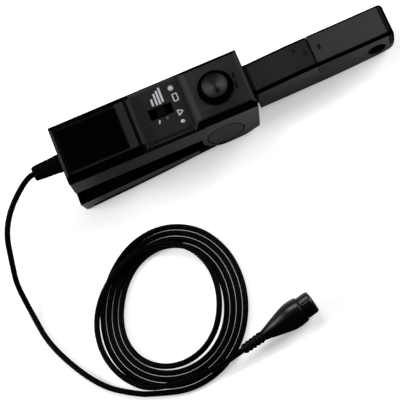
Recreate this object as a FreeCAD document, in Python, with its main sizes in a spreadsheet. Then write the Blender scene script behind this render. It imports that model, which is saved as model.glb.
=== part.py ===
"""Oscilloscope current clamp probe: every separate piece as its own solid.

The probe is drawn in its own frame: x runs from the rear face of the housing
toward the tip of the jaws, y across, and z = 0 is the top of the control face.
One placement then lays it down on its squeeze lever. The cord and the plug are
drawn where they lie, with z = 0 as the surface they lie on.
"""
import FreeCAD
import Part
import Sketcher
import math
import os

V = FreeCAD.Vector

# Driving sizes in millimetres
SIZES = {
    # Housing across and down
    "body_width": 43.0,  # housing, door and lever across
    "wall": 2.2,  # housing wall
    "shoulder": 4.5,  # drop of the side shoulders and switch field
    "side_depth": 22.5,  # top face to lower edge of the side walls
    "floor_wall": 2.0,  # wall under the switch field
    "door_inset": 4.7,  # inset of the top edges at door and rib
    "deck_inset": 3.7,  # inset of the top edges at the deck
    "front_bevel": 2.5,  # bevel along the front top edge
    "front_lean": 2.8,  # lean of the front face down to the hinge
    "corner_round": 1.4,  # rounding of the upright rear corners
    # Housing along, from the rear face forward
    "battery_start": 4.6,  # rear face to battery
    "battery_length": 45.2,  # battery without its contacts
    "door_over": 3.1,  # battery end to door end
    "door_gap": 0.6,  # door end to cross rib
    "rib_width": 3.2,  # cross rib
    "panel_back": 0.9,  # cross rib to panel recess
    "panel_length": 31.3,  # panel recess
    "panel_front": 0.6,  # panel recess to the slope
    "slope_run": 4.0,  # slope up to the dial deck
    "dial_back": 18.7,  # slope to dial axis
    "dial_front": 21.3,  # dial axis to front face
    # Hinge
    "pivot_back": 26.4,  # front face back to the hinge axis
    "pivot_depth": 27.4,  # hinge axis below the top face
    "boss_round": 16.4,  # radius of the hinge bosses
    "cheek": 3.2,  # thickness of the hinge bosses
    "pin_round": 2.5,  # hinge pin radius
    "run_fit": 0.05,  # radial clearance of a turning fit
    "cap_round": 13.0,  # hinge cover radius
    "cap_thick": 1.2,  # hinge cover thickness
    "cap_gap": 0.3,  # gap around a hinge cover
    "hub_round": 7.5,  # hub of lever and lower jaw
    "link_round": 1.5,  # link pin hole radius
    "link_back": 9.1,  # link pin behind the hinge axis
    "link_drop": 5.6,  # link pin below the hinge axis
    # Battery bay, door and label
    "battery_half": 13.2,  # half width of the battery
    "battery_height": 17.5,  # battery
    "battery_top": 5.0,  # depth of the battery top
    "bay_start": 3.4,  # rear end of the battery opening
    "slide_gap": 0.1,  # gap of the sliding door
    "rail_width": 1.2,  # door rail
    "label_start": 4.2,  # rear edge of the label field
    "label_length": 41.4,  # label field
    "label_sink": 0.5,  # depth of the label field
    "label_gap": 0.1,  # gap around the label plate
    # Switch field
    "panel_half": 18.6,  # half width of the panel recess
    "panel_thick": 0.6,  # switch panel plate
    "panel_gap": 0.1,  # gap around the panel plate
    "slot_back": 7.4,  # panel recess to the switch slot
    "slot_length": 16.5,  # switch slot
    "slot_y": 1.4,  # middle of the switch slot
    "slot_width": 7.8,  # switch slot
    "knob_length": 5.8,  # switch knob along the slot
    "lamp_round": 1.5,  # lamp lens radius
    "lamp_gap": 0.15,  # gap around a lamp
    "lamp_a_front": 4.1,  # power lamp to the end of the recess
    "lamp_a_y": 14.0,  # power lamp across
    "lamp_b_front": 4.7,  # overload lamp to the end of the recess
    "lamp_b_y": 10.8,  # overload lamp across
    # Dial
    "dial_round": 12.0,  # dial radius at its foot
    "dial_top": 4.6,  # dial height over the deck
    "dial_flank": 3.7,  # dial foot to the edge of its dished top
    "dial_seat": 2.0,  # height of the shaft end inside the dial
    "shaft_round": 3.0,  # dial shaft radius
    "bush_round": 3.9,  # shaft bushing radius
    "pot_round": 8.2,  # potentiometer case radius
    # Inside
    "board_top": 12.0,  # depth of the circuit board top
    "board_thick": 1.6,  # circuit board
    "board_half": 17.6,  # half width of the circuit board
    "board_y": 13.6,  # board screws across
    "post_round": 2.3,  # screw post radius
    "post_a": 10.0,  # rear tray screws
    "tray_screw": 1.1,  # tray screw shank radius
    "board_screw": 1.0,  # board screw shank radius
    "jaw_screw": 1.25,  # jaw screw shank radius
    "jaw_screw_y": 6.2,  # jaw screws across
    "tray_flange": 1.8,  # flange of the belly tray
    "tray_wall": 1.5,  # basin walls and shelf of the belly tray
    "spring_round": 4.1,  # return spring middle radius
    "spring_wire": 0.5,  # return spring wire radius
    "spring_back": 47.1,  # return spring behind the hinge axis
    "peg_round": 3.0,  # spring pegs
    # Jaws
    "jaw_width": 23.0,  # jaws across
    "jaw_gap": 1.7,  # front face to the rear shoulder of both jaws
    "rear_jaw": 44.2,  # shoulder to the cross seam of the upper jaw
    "nose_length": 54.0,  # cross seam to the tip
    "seam_gap": 0.4,  # gap of the cross seam
    "split": 18.8,  # depth of the plane where the jaws meet
    "split_gap": 0.2,  # gap between the closed jaws
    "hole_back": 13.6,  # tip to the cross hole
    "hole_round": 6.3,  # cross hole radius
    "core_cover": 0.8,  # wall between cross hole and core
    "core_thick": 1.6,  # core ring
    "core_half": 7.0,  # half width of the core
    "core_gap": 0.2,  # gap around the core
    "jaw_top": 9.4,  # depth of the upper jaw's top at its shoulder
    "jaw_rise": 30.8,  # shoulder to the end of the rise of the top
    "rise_top": 6.3,  # depth of the top there
    "seam_top": 5.8,  # depth of the top at the seam
    "nose_flat": 22.4,  # seam to the last rise of the nose
    "nose_mid": 5.0,  # depth of the nose there
    "nose_top": 3.6,  # depth of the highest point of the nose
    "nose_bevel": 2.4,  # highest point back from the tip
    "root_top": 8.0,  # depth of the root of the upper jaw
    "tenon_inset": 3.5,  # sides of the jaw to the tenon of the nose
    "edge_round": 2.0,  # rounding of the long jaw edges
    "tip_round": 3.0,  # rounding of the tip corners
    # Lever
    "lever_wall": 2.2,  # lever side walls
    "lever_floor": 2.6,  # lever floor
    "lever_tail": 1.2,  # reach of the lever behind the rear face
    "lever_rise": 14.0,  # height of the rear end of the lever
    "dip_back": 46.5,  # hinge axis back to the low bend of the lever
    "bend_back": 25.1,  # hinge axis back to the front bend
    "bend_drop": 18.0,  # front bend below the hinge axis
    "lever_heel": 58.37,  # depth at which the rear of the lever touches the surface
    "heel_x": 4.0,  # where it touches
    "toe_back": 14.5,  # front face back to where the housing touches the surface
    "boss_gap": 1.2,  # gap between lever ends and hinge bosses
    "ear_gap": 0.4,  # gap between lever ears and jaw arm
    "ear_thick": 4.4,  # lever ear
    "arm_half": 8.0,  # half width of the lower jaw arm
    # Cord and plug
    "relief_depth": 15.5,  # cord outlet below the top face
    "relief_length": 20.5,  # strain relief outside the housing
    "relief_root": 6.2,  # strain relief radius at the housing
    "relief_tip": 4.6,  # strain relief radius at its end
    "relief_neck": 3.5,  # strain relief radius in the wall
    "relief_collar": 5.2,  # strain relief radius behind the wall
    "cord_round": 1.95,  # cord radius
    "coil_height": 9.0,  # height of the coiled cord
    "boot_length": 46.4,  # plug boot
    "boot_round": 9.2,  # widest radius of the plug boot
    "neck_length": 17.0,  # ribbed neck of the boot
    "neck_round": 3.0,  # plug boot radius at the cord
    "nut_length": 8.4,  # coupling barrel
    "nut_round": 7.75,  # coupling barrel radius
    "sleeve_round": 4.05,  # plug sleeve radius
    "sleeve_wall": 0.55,  # plug sleeve wall
}

# Direction of the plug from the x axis, in degrees
PLUG_TURN = 10.7

os.makedirs("parts", exist_ok=True)
doc = FreeCAD.newDocument("ClampProbe")
sheet = doc.addObject("Spreadsheet::Sheet", "Sizes")
for row, (alias, number) in enumerate(SIZES.items(), 1):
    sheet.set(f"A{row}", alias.replace("_", " "))
    sheet.set(f"B{row}", str(number))
    sheet.setAlias(f"B{row}", alias)
doc.recompute()

class Size:
    """A number together with the sheet expression that gives it."""

    def __init__(self, value, text=None):
        self.value = float(value)
        self.text = repr(float(value)) if text is None else text
        self.bound = text is not None

    def joined(self, other, sign, value):
        """Return the size made from this one, a sign and another."""
        made = Size(value, f"({self.text} {sign} {other.text})")
        made.bound = self.bound or other.bound
        return made

    def __add__(self, other):
        other = sized(other)
        return self.joined(other, "+", self.value + other.value)

    def __sub__(self, other):
        other = sized(other)
        return self.joined(other, "-", self.value - other.value)

    def __mul__(self, other):
        other = sized(other)
        return self.joined(other, "*", self.value * other.value)

    def __truediv__(self, other):
        other = sized(other)
        return self.joined(other, "/", self.value / other.value)

    def __radd__(self, other):
        return sized(other) + self

    def __rsub__(self, other):
        return sized(other) - self

    def __rmul__(self, other):
        return sized(other) * self

    def __neg__(self):
        return sized(0) - self


def sized(number):
    """Return a plain number as a Size, and a Size as it is."""
    return number if isinstance(number, Size) else Size(number)


def turned(name, angle):
    """Return sin, cos or tan of an angle size in degrees."""
    work = {"sin": math.sin, "cos": math.cos, "tan": math.tan}[name]
    return Size(work(math.radians(angle.value)), f"{name}({angle.text} * 1deg)")


class Sheet:
    """The driving sizes, each read by its alias."""

    def __getattr__(self, alias):
        return Size(SIZES[alias], f"Sizes.{alias}")


S = Sheet()

# Stations along the housing
door_length = S.battery_start + S.battery_length + S.door_over
battery_end = S.battery_start + S.battery_length
rib_start = door_length + S.door_gap
rib_end = rib_start + S.rib_width
panel_start = rib_end + S.panel_back
panel_end = panel_start + S.panel_length
slope_start = panel_end + S.panel_front
deck_start = slope_start + S.slope_run
dial_x = deck_start + S.dial_back
body_length = dial_x + S.dial_front
slot_start = panel_start + S.slot_back
slot_end = slot_start + S.slot_length
knob_x = (slot_start + slot_end) / 2
lamp_a_x = panel_end - S.lamp_a_front
lamp_b_x = panel_end - S.lamp_b_front
bay_end = door_length - 0.5
label_end = S.label_start + S.label_length

# Hinge, jaws and what hangs on them
pivot_x = body_length - S.pivot_back
pivot_z = -S.pivot_depth
link_x = pivot_x - S.link_back
link_z = pivot_z - S.link_drop
jaw_start = body_length + S.jaw_gap
jaw_seam = jaw_start + S.rear_jaw
jaw_tip = jaw_seam + S.nose_length
hole_x = jaw_tip - S.hole_back
core_inner = S.hole_round + S.core_cover
core_outer = core_inner + S.core_thick
upper_face = -(S.split - S.split_gap / 2)
lower_face = -(S.split + S.split_gap / 2)
root_start = dial_x + S.pot_round + 0.5
root_half = S.jaw_width / 2 - 1.2
jaw_screw_x = root_start + 3.7
spring_x = pivot_x - S.spring_back

# Across
half = S.body_width / 2
inner_half = half - S.wall
cheek_half = half - S.cheek
cap_face = half - S.cap_thick
bay_half = S.battery_half + 0.5
rail_y = S.battery_half + 3.1
label_half = rail_y - 1.35
post_y = S.battery_half + 3.8
tray_half = S.battery_half + 0.3 + S.tray_wall
slot_low = S.slot_y - S.slot_width / 2
slot_high = S.slot_y + S.slot_width / 2
ear_y = S.arm_half + S.ear_gap + S.ear_thick / 2

# Heights
ceiling = S.shoulder + S.panel_thick + S.floor_wall
flange_z = -(S.side_depth - S.tray_flange)
battery_low = S.battery_top + S.battery_height
tray_depth = battery_low + 4.5
board_low = -(S.board_top + S.board_thick)
tray_tip = 9.5 - S.side_depth
board_tip = 3.6 - S.board_top
jaw_screw_tip = 4.0 - S.root_top
arm_top = lower_face - 2.5

# Stations of the board and the tray
board_start = rib_end + 0.8
board_end = root_start - 2.5
board_a_x = board_start + 3.5
board_b_x = board_end - 3.8
post_b = panel_end - 8.4
shelf_start = pivot_x - 18.5

# The probe lies on the rear of its lever and on the toe of its housing
toe_x = body_length - S.toe_back
toe_depth = S.pivot_depth + S.boss_round - 0.78
rest_slope = (S.lever_heel - toe_depth) / (toe_x - S.heel_x)
rest_depth = S.lever_heel + rest_slope * S.heel_x
rest_tilt = Size(math.degrees(math.atan(rest_slope.value)), f"(atan({rest_slope.text}) / 1deg)")
rest_sin = turned("sin", rest_tilt)
rest_cos = turned("cos", rest_tilt)


def rest_z(x):
    """Return the depth of the lying plane at a place along the probe."""
    return rest_slope * x - rest_depth


seat_z = rest_z(spring_x) + S.lever_floor + 1.7
tail_point = (-S.lever_tail, rest_z(-S.lever_tail) + S.lever_rise)
nose_crown = (jaw_tip - S.nose_bevel / 4, -(S.nose_top + 1.6))

# The lying plane at x = 0 comes to z = 0, and the middle comes over x = 0
middle_x = (tail_point[0] + nose_crown[0]) / 2
middle_z = (tail_point[1] + nose_crown[1]) / 2
base_x = -(rest_cos * middle_x + rest_sin * middle_z)
base_z = rest_depth * rest_cos

# The plug
socket_x = S.boot_length - 8.8
socket_round = S.sleeve_round + 1.45
sleeve_bore = S.sleeve_round - S.sleeve_wall
nut_bore = S.sleeve_round + 0.85


def bind(item, prop, size):
    """Set a property from a size, by expression where the size has one."""
    size = sized(size)
    if size.bound:
        item.setExpression(prop, size.text)


def lie_down(body):
    """Place a body of the probe as the probe lies."""
    place = V(base_x.value, 0, base_z.value)
    body.Placement = FreeCAD.Placement(place, FreeCAD.Rotation(V(0, 1, 0), rest_tilt.value))
    bind(body, "Placement.Base.x", base_x)
    bind(body, "Placement.Base.z", base_z)
    bind(body, "Placement.Rotation.Angle", rest_tilt)


def lay_plug(body):
    """Place a body of the plug as the plug lies."""
    spot = V(PLUG_END.x, PLUG_END.y, S.boot_round.value)
    body.Placement = FreeCAD.Placement(spot, FreeCAD.Rotation(V(0, 0, 1), PLUG_TURN))
    bind(body, "Placement.Base.z", S.boot_round)


class Piece:
    """One body: sketches on its own planes, pads, cuts and turned profiles."""

    def __init__(self, label, place=lie_down):
        self.body = doc.addObject("PartDesign::Body", label)
        self.body.Label = label
        self.body.AllowCompound = True
        self.count = 0
        self.place = place

    def sketch(self, plane, loops, offset=0, shift=(0, 0)):
        """Draw closed loops on a plane: points, or ("circle", x, y, radius)."""
        self.count += 1
        drawn = self.body.newObject("Sketcher::SketchObject", f"{self.body.Label}_s{self.count}")
        role = f"{plane}_Plane"
        base = [item for item in self.body.Origin.OriginFeatures if item.Role == role][0]
        drawn.AttachmentSupport = (base, [""])
        drawn.MapMode = "FlatFace"
        offset = sized(offset)
        moved = [sized(part) for part in shift]
        place = V(moved[0].value, moved[1].value, offset.value)
        drawn.AttachmentOffset = FreeCAD.Placement(place, FreeCAD.Rotation())
        for axis, part in zip("xyz", (moved[0], moved[1], offset)):
            bind(drawn, f"AttachmentOffset.Base.{axis}", part)
        for loop in loops:
            if loop[0] == "circle":
                self.circle(drawn, *loop[1:])
            else:
                self.outline(drawn, loop)
        return drawn

    def hold(self, drawn, kind, item, point, size):
        """Fix one coordinate of a sketch point from the origin."""
        size = sized(size)
        rule = Sketcher.Constraint(kind, -1, 1, item, point, size.value)
        number = drawn.addConstraint(rule)
        bind(drawn, f"Constraints[{number}]", size)

    def circle(self, drawn, x, y, radius):
        """Add a circle held by its middle and radius."""
        x, y, radius = sized(x), sized(y), sized(radius)
        middle = V(x.value, y.value, 0)
        item = drawn.addGeometry(Part.Circle(middle, V(0, 0, 1), radius.value), False)
        self.hold(drawn, "DistanceX", item, 3, x)
        self.hold(drawn, "DistanceY", item, 3, y)
        number = drawn.addConstraint(Sketcher.Constraint("Radius", item, radius.value))
        bind(drawn, f"Constraints[{number}]", radius)

    def outline(self, drawn, points):
        """Add a closed outline held by each of its corners."""
        points = [(sized(x), sized(y)) for x, y in points]
        first = drawn.GeometryCount
        total = len(points)
        for i in range(total):
            start, end = points[i], points[(i + 1) % total]
            line = Part.LineSegment(V(start[0].value, start[1].value, 0),
                                    V(end[0].value, end[1].value, 0))
            drawn.addGeometry(line, False)
        for i in range(total):
            after = first + (i + 1) % total
            drawn.addConstraint(Sketcher.Constraint("Coincident", first + i, 2, after, 1))
        for i, (x, y) in enumerate(points):
            self.hold(drawn, "DistanceX", first + i, 1, x)
            self.hold(drawn, "DistanceY", first + i, 1, y)

    def feature(self, kind, drawn, length, symmetric, reverse=False):
        """Pad or pocket a sketch by a length."""
        made = self.body.newObject(f"PartDesign::{kind}", f"{drawn.Name}_{kind}")
        made.Profile = drawn
        length = sized(length)
        made.SideType = "Symmetric" if symmetric else "One side"
        made.Length = length.value
        bind(made, "Length", length)
        made.Reversed = reverse
        before = self.body.Shape.Volume if kind == "Pocket" else 0
        drawn.Visibility = False
        doc.recompute()
        if kind == "Pocket" and self.body.Shape.Volume > before - 0.005:
            raise ValueError(f"{made.Name} takes nothing away")
        return made

    def across(self, loops, width, kind="Pad"):
        """Pad or cut side outlines evenly about the middle plane."""
        return self.feature(kind, self.sketch("XZ", loops), width, True)

    def across_from(self, loops, low, high, kind="Pad"):
        """Pad or cut side outlines between two places across."""
        low, high = sized(low), sized(high)
        start = -high if kind == "Pad" else -low
        return self.feature(kind, self.sketch("XZ", loops, start), high - low, False)

    def upright(self, loops, low, high, kind="Pad"):
        """Pad or cut plan outlines between two heights."""
        low, high = sized(low), sized(high)
        start = low if kind == "Pad" else high
        return self.feature(kind, self.sketch("XY", loops, start), high - low, False)

    def along(self, loops, low, high, kind="Pad"):
        """Pad or cut section outlines between two places along."""
        low, high = sized(low), sized(high)
        start = low if kind == "Pad" else high
        return self.feature(kind, self.sketch("YZ", loops, start), high - low, False)

    def spun(self, loops, axis, shift=(0, 0), offset=0):
        """Turn a side outline about its upright or lengthwise axis."""
        drawn = self.sketch("XZ", loops, offset, shift)
        made = self.body.newObject("PartDesign::Revolution", f"{drawn.Name}_turn")
        made.Profile = drawn
        made.ReferenceAxis = (drawn, [axis])
        made.Angle = 360.0
        drawn.Visibility = False
        doc.recompute()
        return made

    def soften(self, radius, chosen):
        """Round the edges that a test picks."""
        tip = self.body.Tip
        names = [f"Edge{i + 1}" for i, edge in enumerate(tip.Shape.Edges) if chosen(edge)]
        if not names:
            raise ValueError(f"{self.body.Label}: no edge to round")
        made = self.body.newObject("PartDesign::Fillet", f"{tip.Name}_round")
        made.Base = (tip, names)
        radius = sized(radius)
        made.Radius = radius.value
        bind(made, "Radius", radius)
        doc.recompute()
        return made

    def done(self):
        """Place the finished body and keep it."""
        self.place(self.body)
        PIECES.append(self.body)
        return self.body


PIECES = []


def box(x0, x1, y0, y1):
    """Return the four corners of a rectangle."""
    return [(x0, y0), (x1, y0), (x1, y1), (x0, y1)]


def wide(x0, x1, reach):
    """Return a rectangle that is even about the middle line."""
    return box(x0, x1, -reach, reach)


def both(x, y, radius):
    """Return a circle on each side of the middle line."""
    return [("circle", x, y, radius), ("circle", x, -y, radius)]


def spans(edge, axis):
    """Return the lowest and highest coordinate of an edge along an axis."""
    box_of = edge.BoundBox
    return {"x": (box_of.XMin, box_of.XMax), "y": (box_of.YMin, box_of.YMax),
            "z": (box_of.ZMin, box_of.ZMax)}[axis]


def at(edge, axis, place, slack=0.02):
    """Tell whether an edge lies wholly at one coordinate."""
    low, high = spans(edge, axis)
    return abs(low - place) < slack and abs(high - place) < slack


def size_of(edge, axis):
    """Return how far an edge reaches along an axis."""
    low, high = spans(edge, axis)
    return high - low


def main_housing():
    """Upper shell: shoulders, rib, switch field, deck and hinge bosses."""
    piece = Piece("main_housing")
    toe = (toe_x, -toe_depth)
    foot_x = body_length - S.front_lean
    side = [(0, -S.shoulder), (slope_start, -S.shoulder), (deck_start, 0),
            (body_length - S.front_bevel, 0), (body_length, -S.front_bevel),
            (foot_x, pivot_z - 4.6), (body_length - 3.5, pivot_z - 9.9), toe,
            (pivot_x, pivot_z - S.boss_round), (pivot_x, -S.side_depth), (0, -S.side_depth)]
    piece.across([side], S.body_width)
    piece.across([("circle", pivot_x, pivot_z, S.boss_round)], S.body_width)
    piece.across([box(rib_start, rib_end, -(S.shoulder + 1), 0)], S.body_width)
    for inset, low, high in ((S.door_inset, rib_start, rib_end),
                             (S.deck_inset, slope_start, body_length + 1)):
        right = [(half, -S.shoulder), (half + 1, -S.shoulder), (half + 1, 1),
                 (half - inset, 1), (half - inset, 0)]
        left = [(-y, z) for y, z in right]
        piece.along([right, left], low, high, "Pocket")
    piece.soften(S.corner_round, lambda e: at(e, "x", 0) and at(e, "z", spans(e, "z")[0], 99)
                 and size_of(e, "z") > 10 and size_of(e, "y") < 0.01)
    room_end = foot_x - S.wall
    piece.upright([wide(S.wall, room_end, inner_half)], -S.side_depth, -ceiling, "Pocket")
    deck_room = half - S.deck_inset - S.wall
    piece.upright([wide(deck_start + S.wall, room_end, deck_room)], -ceiling - 1, -S.wall, "Pocket")
    lower_start = pivot_x - S.boss_round - 3
    piece.upright([wide(lower_start, room_end, cheek_half)], -60, -S.side_depth, "Pocket")
    # Way out for the fixed jaw above and for the moving jaw below
    piece.upright([wide(room_end - 1, body_length + 1, root_half + 0.2)], lower_face - 0.1,
                  0.1 - S.root_top, "Pocket")
    piece.upright([wide(room_end - 1, body_length + 1, S.arm_half + 1)], -60, lower_face, "Pocket")
    # Battery opening, guides of the door, panel recess, slot, lamps and shaft
    piece.upright([wide(S.bay_start, bay_end, bay_half)], -ceiling - 1, 0, "Pocket")
    guide = S.rail_width / 2 + S.slide_gap
    guides = [box(-1, bay_end - 2, rail_y - guide, rail_y + guide),
              box(-1, bay_end - 2, -rail_y - guide, -rail_y + guide)]
    piece.upright(guides, -S.shoulder - 1.5, -S.shoulder + 1, "Pocket")
    panel_floor = -(S.shoulder + S.panel_thick)
    piece.upright([wide(panel_start, panel_end, S.panel_half)], panel_floor, -S.shoulder + 1,
                  "Pocket")
    lamp_hole = S.lamp_round + S.lamp_gap
    holes = [box(slot_start, slot_end, slot_low, slot_high),
             ("circle", lamp_a_x, S.lamp_a_y, lamp_hole),
             ("circle", lamp_b_x, -S.lamp_b_y, lamp_hole)]
    piece.upright(holes, -ceiling - 1, -S.shoulder, "Pocket")
    piece.upright([("circle", dial_x, 0, S.bush_round + 0.2)], -S.wall - 1, 1, "Pocket")
    piece.along([("circle", 0, -S.relief_depth, S.relief_neck + 0.1)], -1, S.wall + 1, "Pocket")
    # Posts for the tray, the board and the fixed jaw
    piece.upright(both(S.post_a, post_y, S.post_round) + both(post_b, post_y, S.post_round),
                  flange_z, 0.5 - ceiling)
    piece.upright(both(board_a_x, S.board_y, S.post_round), -S.board_top, 0.5 - ceiling)
    piece.upright(both(board_b_x, S.board_y, S.post_round), -S.board_top, 0.5 - S.wall)
    piece.upright(both(jaw_screw_x, S.jaw_screw_y, 2.8), -S.root_top, 0.5 - S.wall)
    tray_pilot = S.tray_screw + S.run_fit
    piece.upright(both(S.post_a, post_y, tray_pilot) + both(post_b, post_y, tray_pilot),
                  -25, tray_tip + 0.4, "Pocket")
    board_pilot = S.board_screw + S.run_fit
    piece.upright(both(board_a_x, S.board_y, board_pilot) + both(board_b_x, S.board_y, board_pilot),
                  -25, board_tip + 0.4, "Pocket")
    piece.upright(both(jaw_screw_x, S.jaw_screw_y, S.jaw_screw + S.run_fit), -25,
                  jaw_screw_tip + 0.4, "Pocket")
    # Hinge bore and the seats of its covers
    piece.across([("circle", pivot_x, pivot_z, S.pin_round + S.run_fit)], S.body_width + 2, "Pocket")
    seat = [("circle", pivot_x, pivot_z, S.cap_round + S.cap_gap)]
    piece.across_from(seat, cap_face, half + 1, "Pocket")
    piece.across_from(seat, -half - 1, -cap_face, "Pocket")
    piece.done()


def belly_tray():
    """Tray that closes the housing from below and carries the battery."""
    piece = Piece("belly_tray")
    basin_floor = S.tray_flange - tray_depth
    shelf_end = shelf_start + S.tray_wall
    shelf_z = pivot_z + S.hub_round + 2.1
    basin = S.battery_start - 0.2
    piece.upright([wide(S.wall + 0.3, shelf_end, inner_half - 0.3)], -S.side_depth, flange_z)
    piece.upright([wide(basin - S.tray_wall, shelf_start - 0.6, tray_half)], -tray_depth,
                  0.5 - S.side_depth)
    piece.upright([wide(basin, shelf_start - 2.1, tray_half - S.tray_wall)], basin_floor,
                  flange_z + 1, "Pocket")
    piece.upright([wide(battery_end + 4.3, battery_end + 5.9, tray_half - 1)], basin_floor - 0.5,
                  -(S.battery_top + 3.2))
    for start in (S.battery_start + 9.4, battery_end - 9.8):
        piece.upright([wide(start, start + 2, tray_half - 1)], basin_floor - 0.5, -battery_low)
    piece.across([[(shelf_start, -S.side_depth), (shelf_start, shelf_z), (board_end, shelf_z),
                   (board_end, shelf_z - S.tray_wall), (shelf_end, shelf_z - S.tray_wall),
                   (shelf_end, -S.side_depth)]], cheek_half * 2 - 0.8)
    piece.upright([("circle", spring_x, 0, S.peg_round)], -tray_depth - 3, -tray_depth + 0.5)
    passing = S.tray_screw + 0.15
    piece.upright(both(S.post_a, post_y, passing) + both(post_b, post_y, passing),
                  -S.side_depth - 1, flange_z + 1, "Pocket")
    piece.done()


def battery_door():
    """Sliding door with bevelled edges, a label field and two rails."""
    piece = Piece("battery_door")
    low = S.slide_gap - S.shoulder
    piece.along([[(-half, low), (half, low), (half - S.door_inset, 0), (S.door_inset - half, 0)]],
                0, door_length)
    piece.across([[(-1, -2.0), (0, -2.0), (2.0, 0), (2.0, 1), (-1, 1)]], S.body_width + 2, "Pocket")
    piece.upright([wide(2, door_length - 1.7, rail_y - S.rail_width / 2 - 0.3)], low - 1, -1.8,
                  "Pocket")
    piece.upright([wide(S.label_start, label_end, label_half)], -S.label_sink, 1, "Pocket")
    edge = S.rail_width / 2
    piece.upright([box(1, bay_end - 2.8, rail_y - edge, rail_y + edge),
                   box(1, bay_end - 2.8, -rail_y - edge, -rail_y + edge)], low - 1.3, low + 0.5)
    piece.done()


def label_plate():
    """Blank plate in the field of the door."""
    piece = Piece("label_plate")
    reach = label_half - S.label_gap
    piece.upright([wide(S.label_start + S.label_gap, label_end - S.label_gap, reach)],
                  -S.label_sink, -0.08)
    piece.done()


def switch_panel():
    """Thin plate of the switch field."""
    piece = Piece("switch_panel")
    piece.upright([wide(panel_start + S.panel_gap, panel_end - S.panel_gap,
                        S.panel_half - S.panel_gap)], -(S.shoulder + S.panel_thick), -S.shoulder)
    lamp_hole = S.lamp_round + S.lamp_gap
    piece.upright([box(slot_start, slot_end, slot_low, slot_high),
                   ("circle", lamp_a_x, S.lamp_a_y, lamp_hole),
                   ("circle", lamp_b_x, -S.lamp_b_y, lamp_hole)], -S.shoulder - 2, -S.shoulder + 1,
                  "Pocket")
    piece.done()


def range_switch():
    """Slide switch: its case under the field and the knob in the slot."""
    case = Piece("range_switch_case")
    case_half = S.slot_width / 2 + 1.6
    case.upright([box(slot_start - 2.7, slot_end + 2.8, S.slot_y - case_half, S.slot_y + case_half)],
                 -S.board_top, -ceiling)
    case.upright([box(knob_x - 7, knob_x + 7, S.slot_y - 1.7, S.slot_y + 1.7)], 1.2 - S.board_top,
                 1 - ceiling, "Pocket")
    case.done()
    knob = Piece("range_knob")
    reach = S.slot_width / 2 - 0.3
    start, end = knob_x - S.knob_length / 2, knob_x + S.knob_length / 2
    knob_top = 1.1 - S.shoulder
    knob.upright([box(start, end, S.slot_y - reach, S.slot_y + reach)], 0.2 - ceiling, knob_top)
    knob.upright([box(knob_x - 1.5, knob_x + 1.5, S.slot_y - 1.4, S.slot_y + 1.4)],
                 1.4 - S.board_top, 0.5 - ceiling)
    for i in (-1, 0, 1):
        groove = knob_x + i * 1.6
        knob.upright([box(groove - 0.3, groove + 0.3, S.slot_y - reach - 1, S.slot_y + reach + 1)],
                     knob_top - 0.4, knob_top + 2, "Pocket")
    knob.done()


def lamp(label, x, y):
    """Small lamp with a domed lens, a collar and two legs on the board."""
    piece = Piece(label)
    foot = 1.8 - S.board_top
    dome = 0.6 - S.shoulder
    piece.upright([("circle", x, y, S.lamp_round)], foot, dome)
    piece.upright([("circle", x, y, S.lamp_round + 0.4)], foot, foot + 1)
    piece.upright([box(x - 1.0, x - 0.5, y - 0.25, y + 0.25),
                   box(x + 0.5, x + 1.0, y - 0.25, y + 0.25)], -S.board_top, foot + 0.2)
    piece.soften(S.lamp_round * 0.8, lambda e: at(e, "z", dome.value) and size_of(e, "x") > 2)
    piece.done()


def zero_dial():
    """Dished dial, its shaft and the potentiometer under the deck."""
    dial = Piece("zero_dial")
    rim = S.dial_round - S.dial_flank
    dish = [(rim - 0.6, S.dial_top), (rim - 1.0, S.dial_top - 0.2), (rim - 2.1, S.dial_top - 0.62),
            (rim - 3.5, S.dial_top - 0.98), (rim - 5.1, S.dial_top - 1.24), (1.6, S.dial_top - 1.37),
            (0, S.dial_top - 1.4)]
    dial.spun([[(0, 0.4), (S.dial_round, 0.4), (S.dial_round, 1.5), (rim + 0.2, S.dial_top - 0.4),
                (rim, S.dial_top - 0.12)] + dish], "V_Axis", (dial_x, 0))
    dial.upright([("circle", dial_x, 0, S.shaft_round + S.run_fit)], 0,
                 S.dial_seat + 0.1, "Pocket")
    dial.upright([("circle", dial_x + 0.6, -3.6, 1.3)], S.dial_top - 1.9, S.dial_top + 1, "Pocket")
    dial.done()
    shaft = Piece("dial_shaft")
    shaft.upright([("circle", dial_x, 0, S.shaft_round)], 4.0 - S.board_top, S.dial_seat)
    shaft.done()
    case = Piece("potentiometer")
    case_top = -(S.wall + 2.2)
    case.upright([("circle", dial_x, 0, S.pot_round)], -S.board_top, case_top)
    case.upright([("circle", dial_x, 0, S.bush_round)], case_top - 0.6, -0.1)
    case.upright([("circle", dial_x, 0, S.shaft_round + S.run_fit)], 3.8 - S.board_top, 1, "Pocket")
    case.done()


def circuit_board():
    """Board with notches for the tray posts and holes for its screws."""
    piece = Piece("circuit_board")
    piece.upright([wide(board_start, board_end, S.board_half)], board_low, -S.board_top)
    piece.upright(both(post_b, post_y, S.post_round + 0.5), board_low - 1, 1 - S.board_top, "Pocket")
    piece.upright(both(board_a_x, S.board_y, S.board_screw + 0.1)
                  + both(board_b_x, S.board_y, S.board_screw + 0.1), board_low - 1, 1 - S.board_top,
                  "Pocket")
    piece.done()


def screws(label, spots, shank, head, head_low, head_high, tip):
    """Group of equal screws that point upward."""
    piece = Piece(label)
    heads = []
    shanks = []
    for x, y in spots:
        heads += both(x, y, head)
        shanks += both(x, y, shank)
    piece.upright(heads, head_low, head_high)
    piece.upright(shanks, head_high - 0.4, tip)
    # Straight slots in the heads
    slots = [box(x - head - 1, x + head + 1, side * y - 0.25, side * y + 0.25)
             for x, y in spots for side in (1, -1)]
    piece.upright(slots, head_low - 1, head_low + 0.5, "Pocket")
    piece.done()


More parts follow.
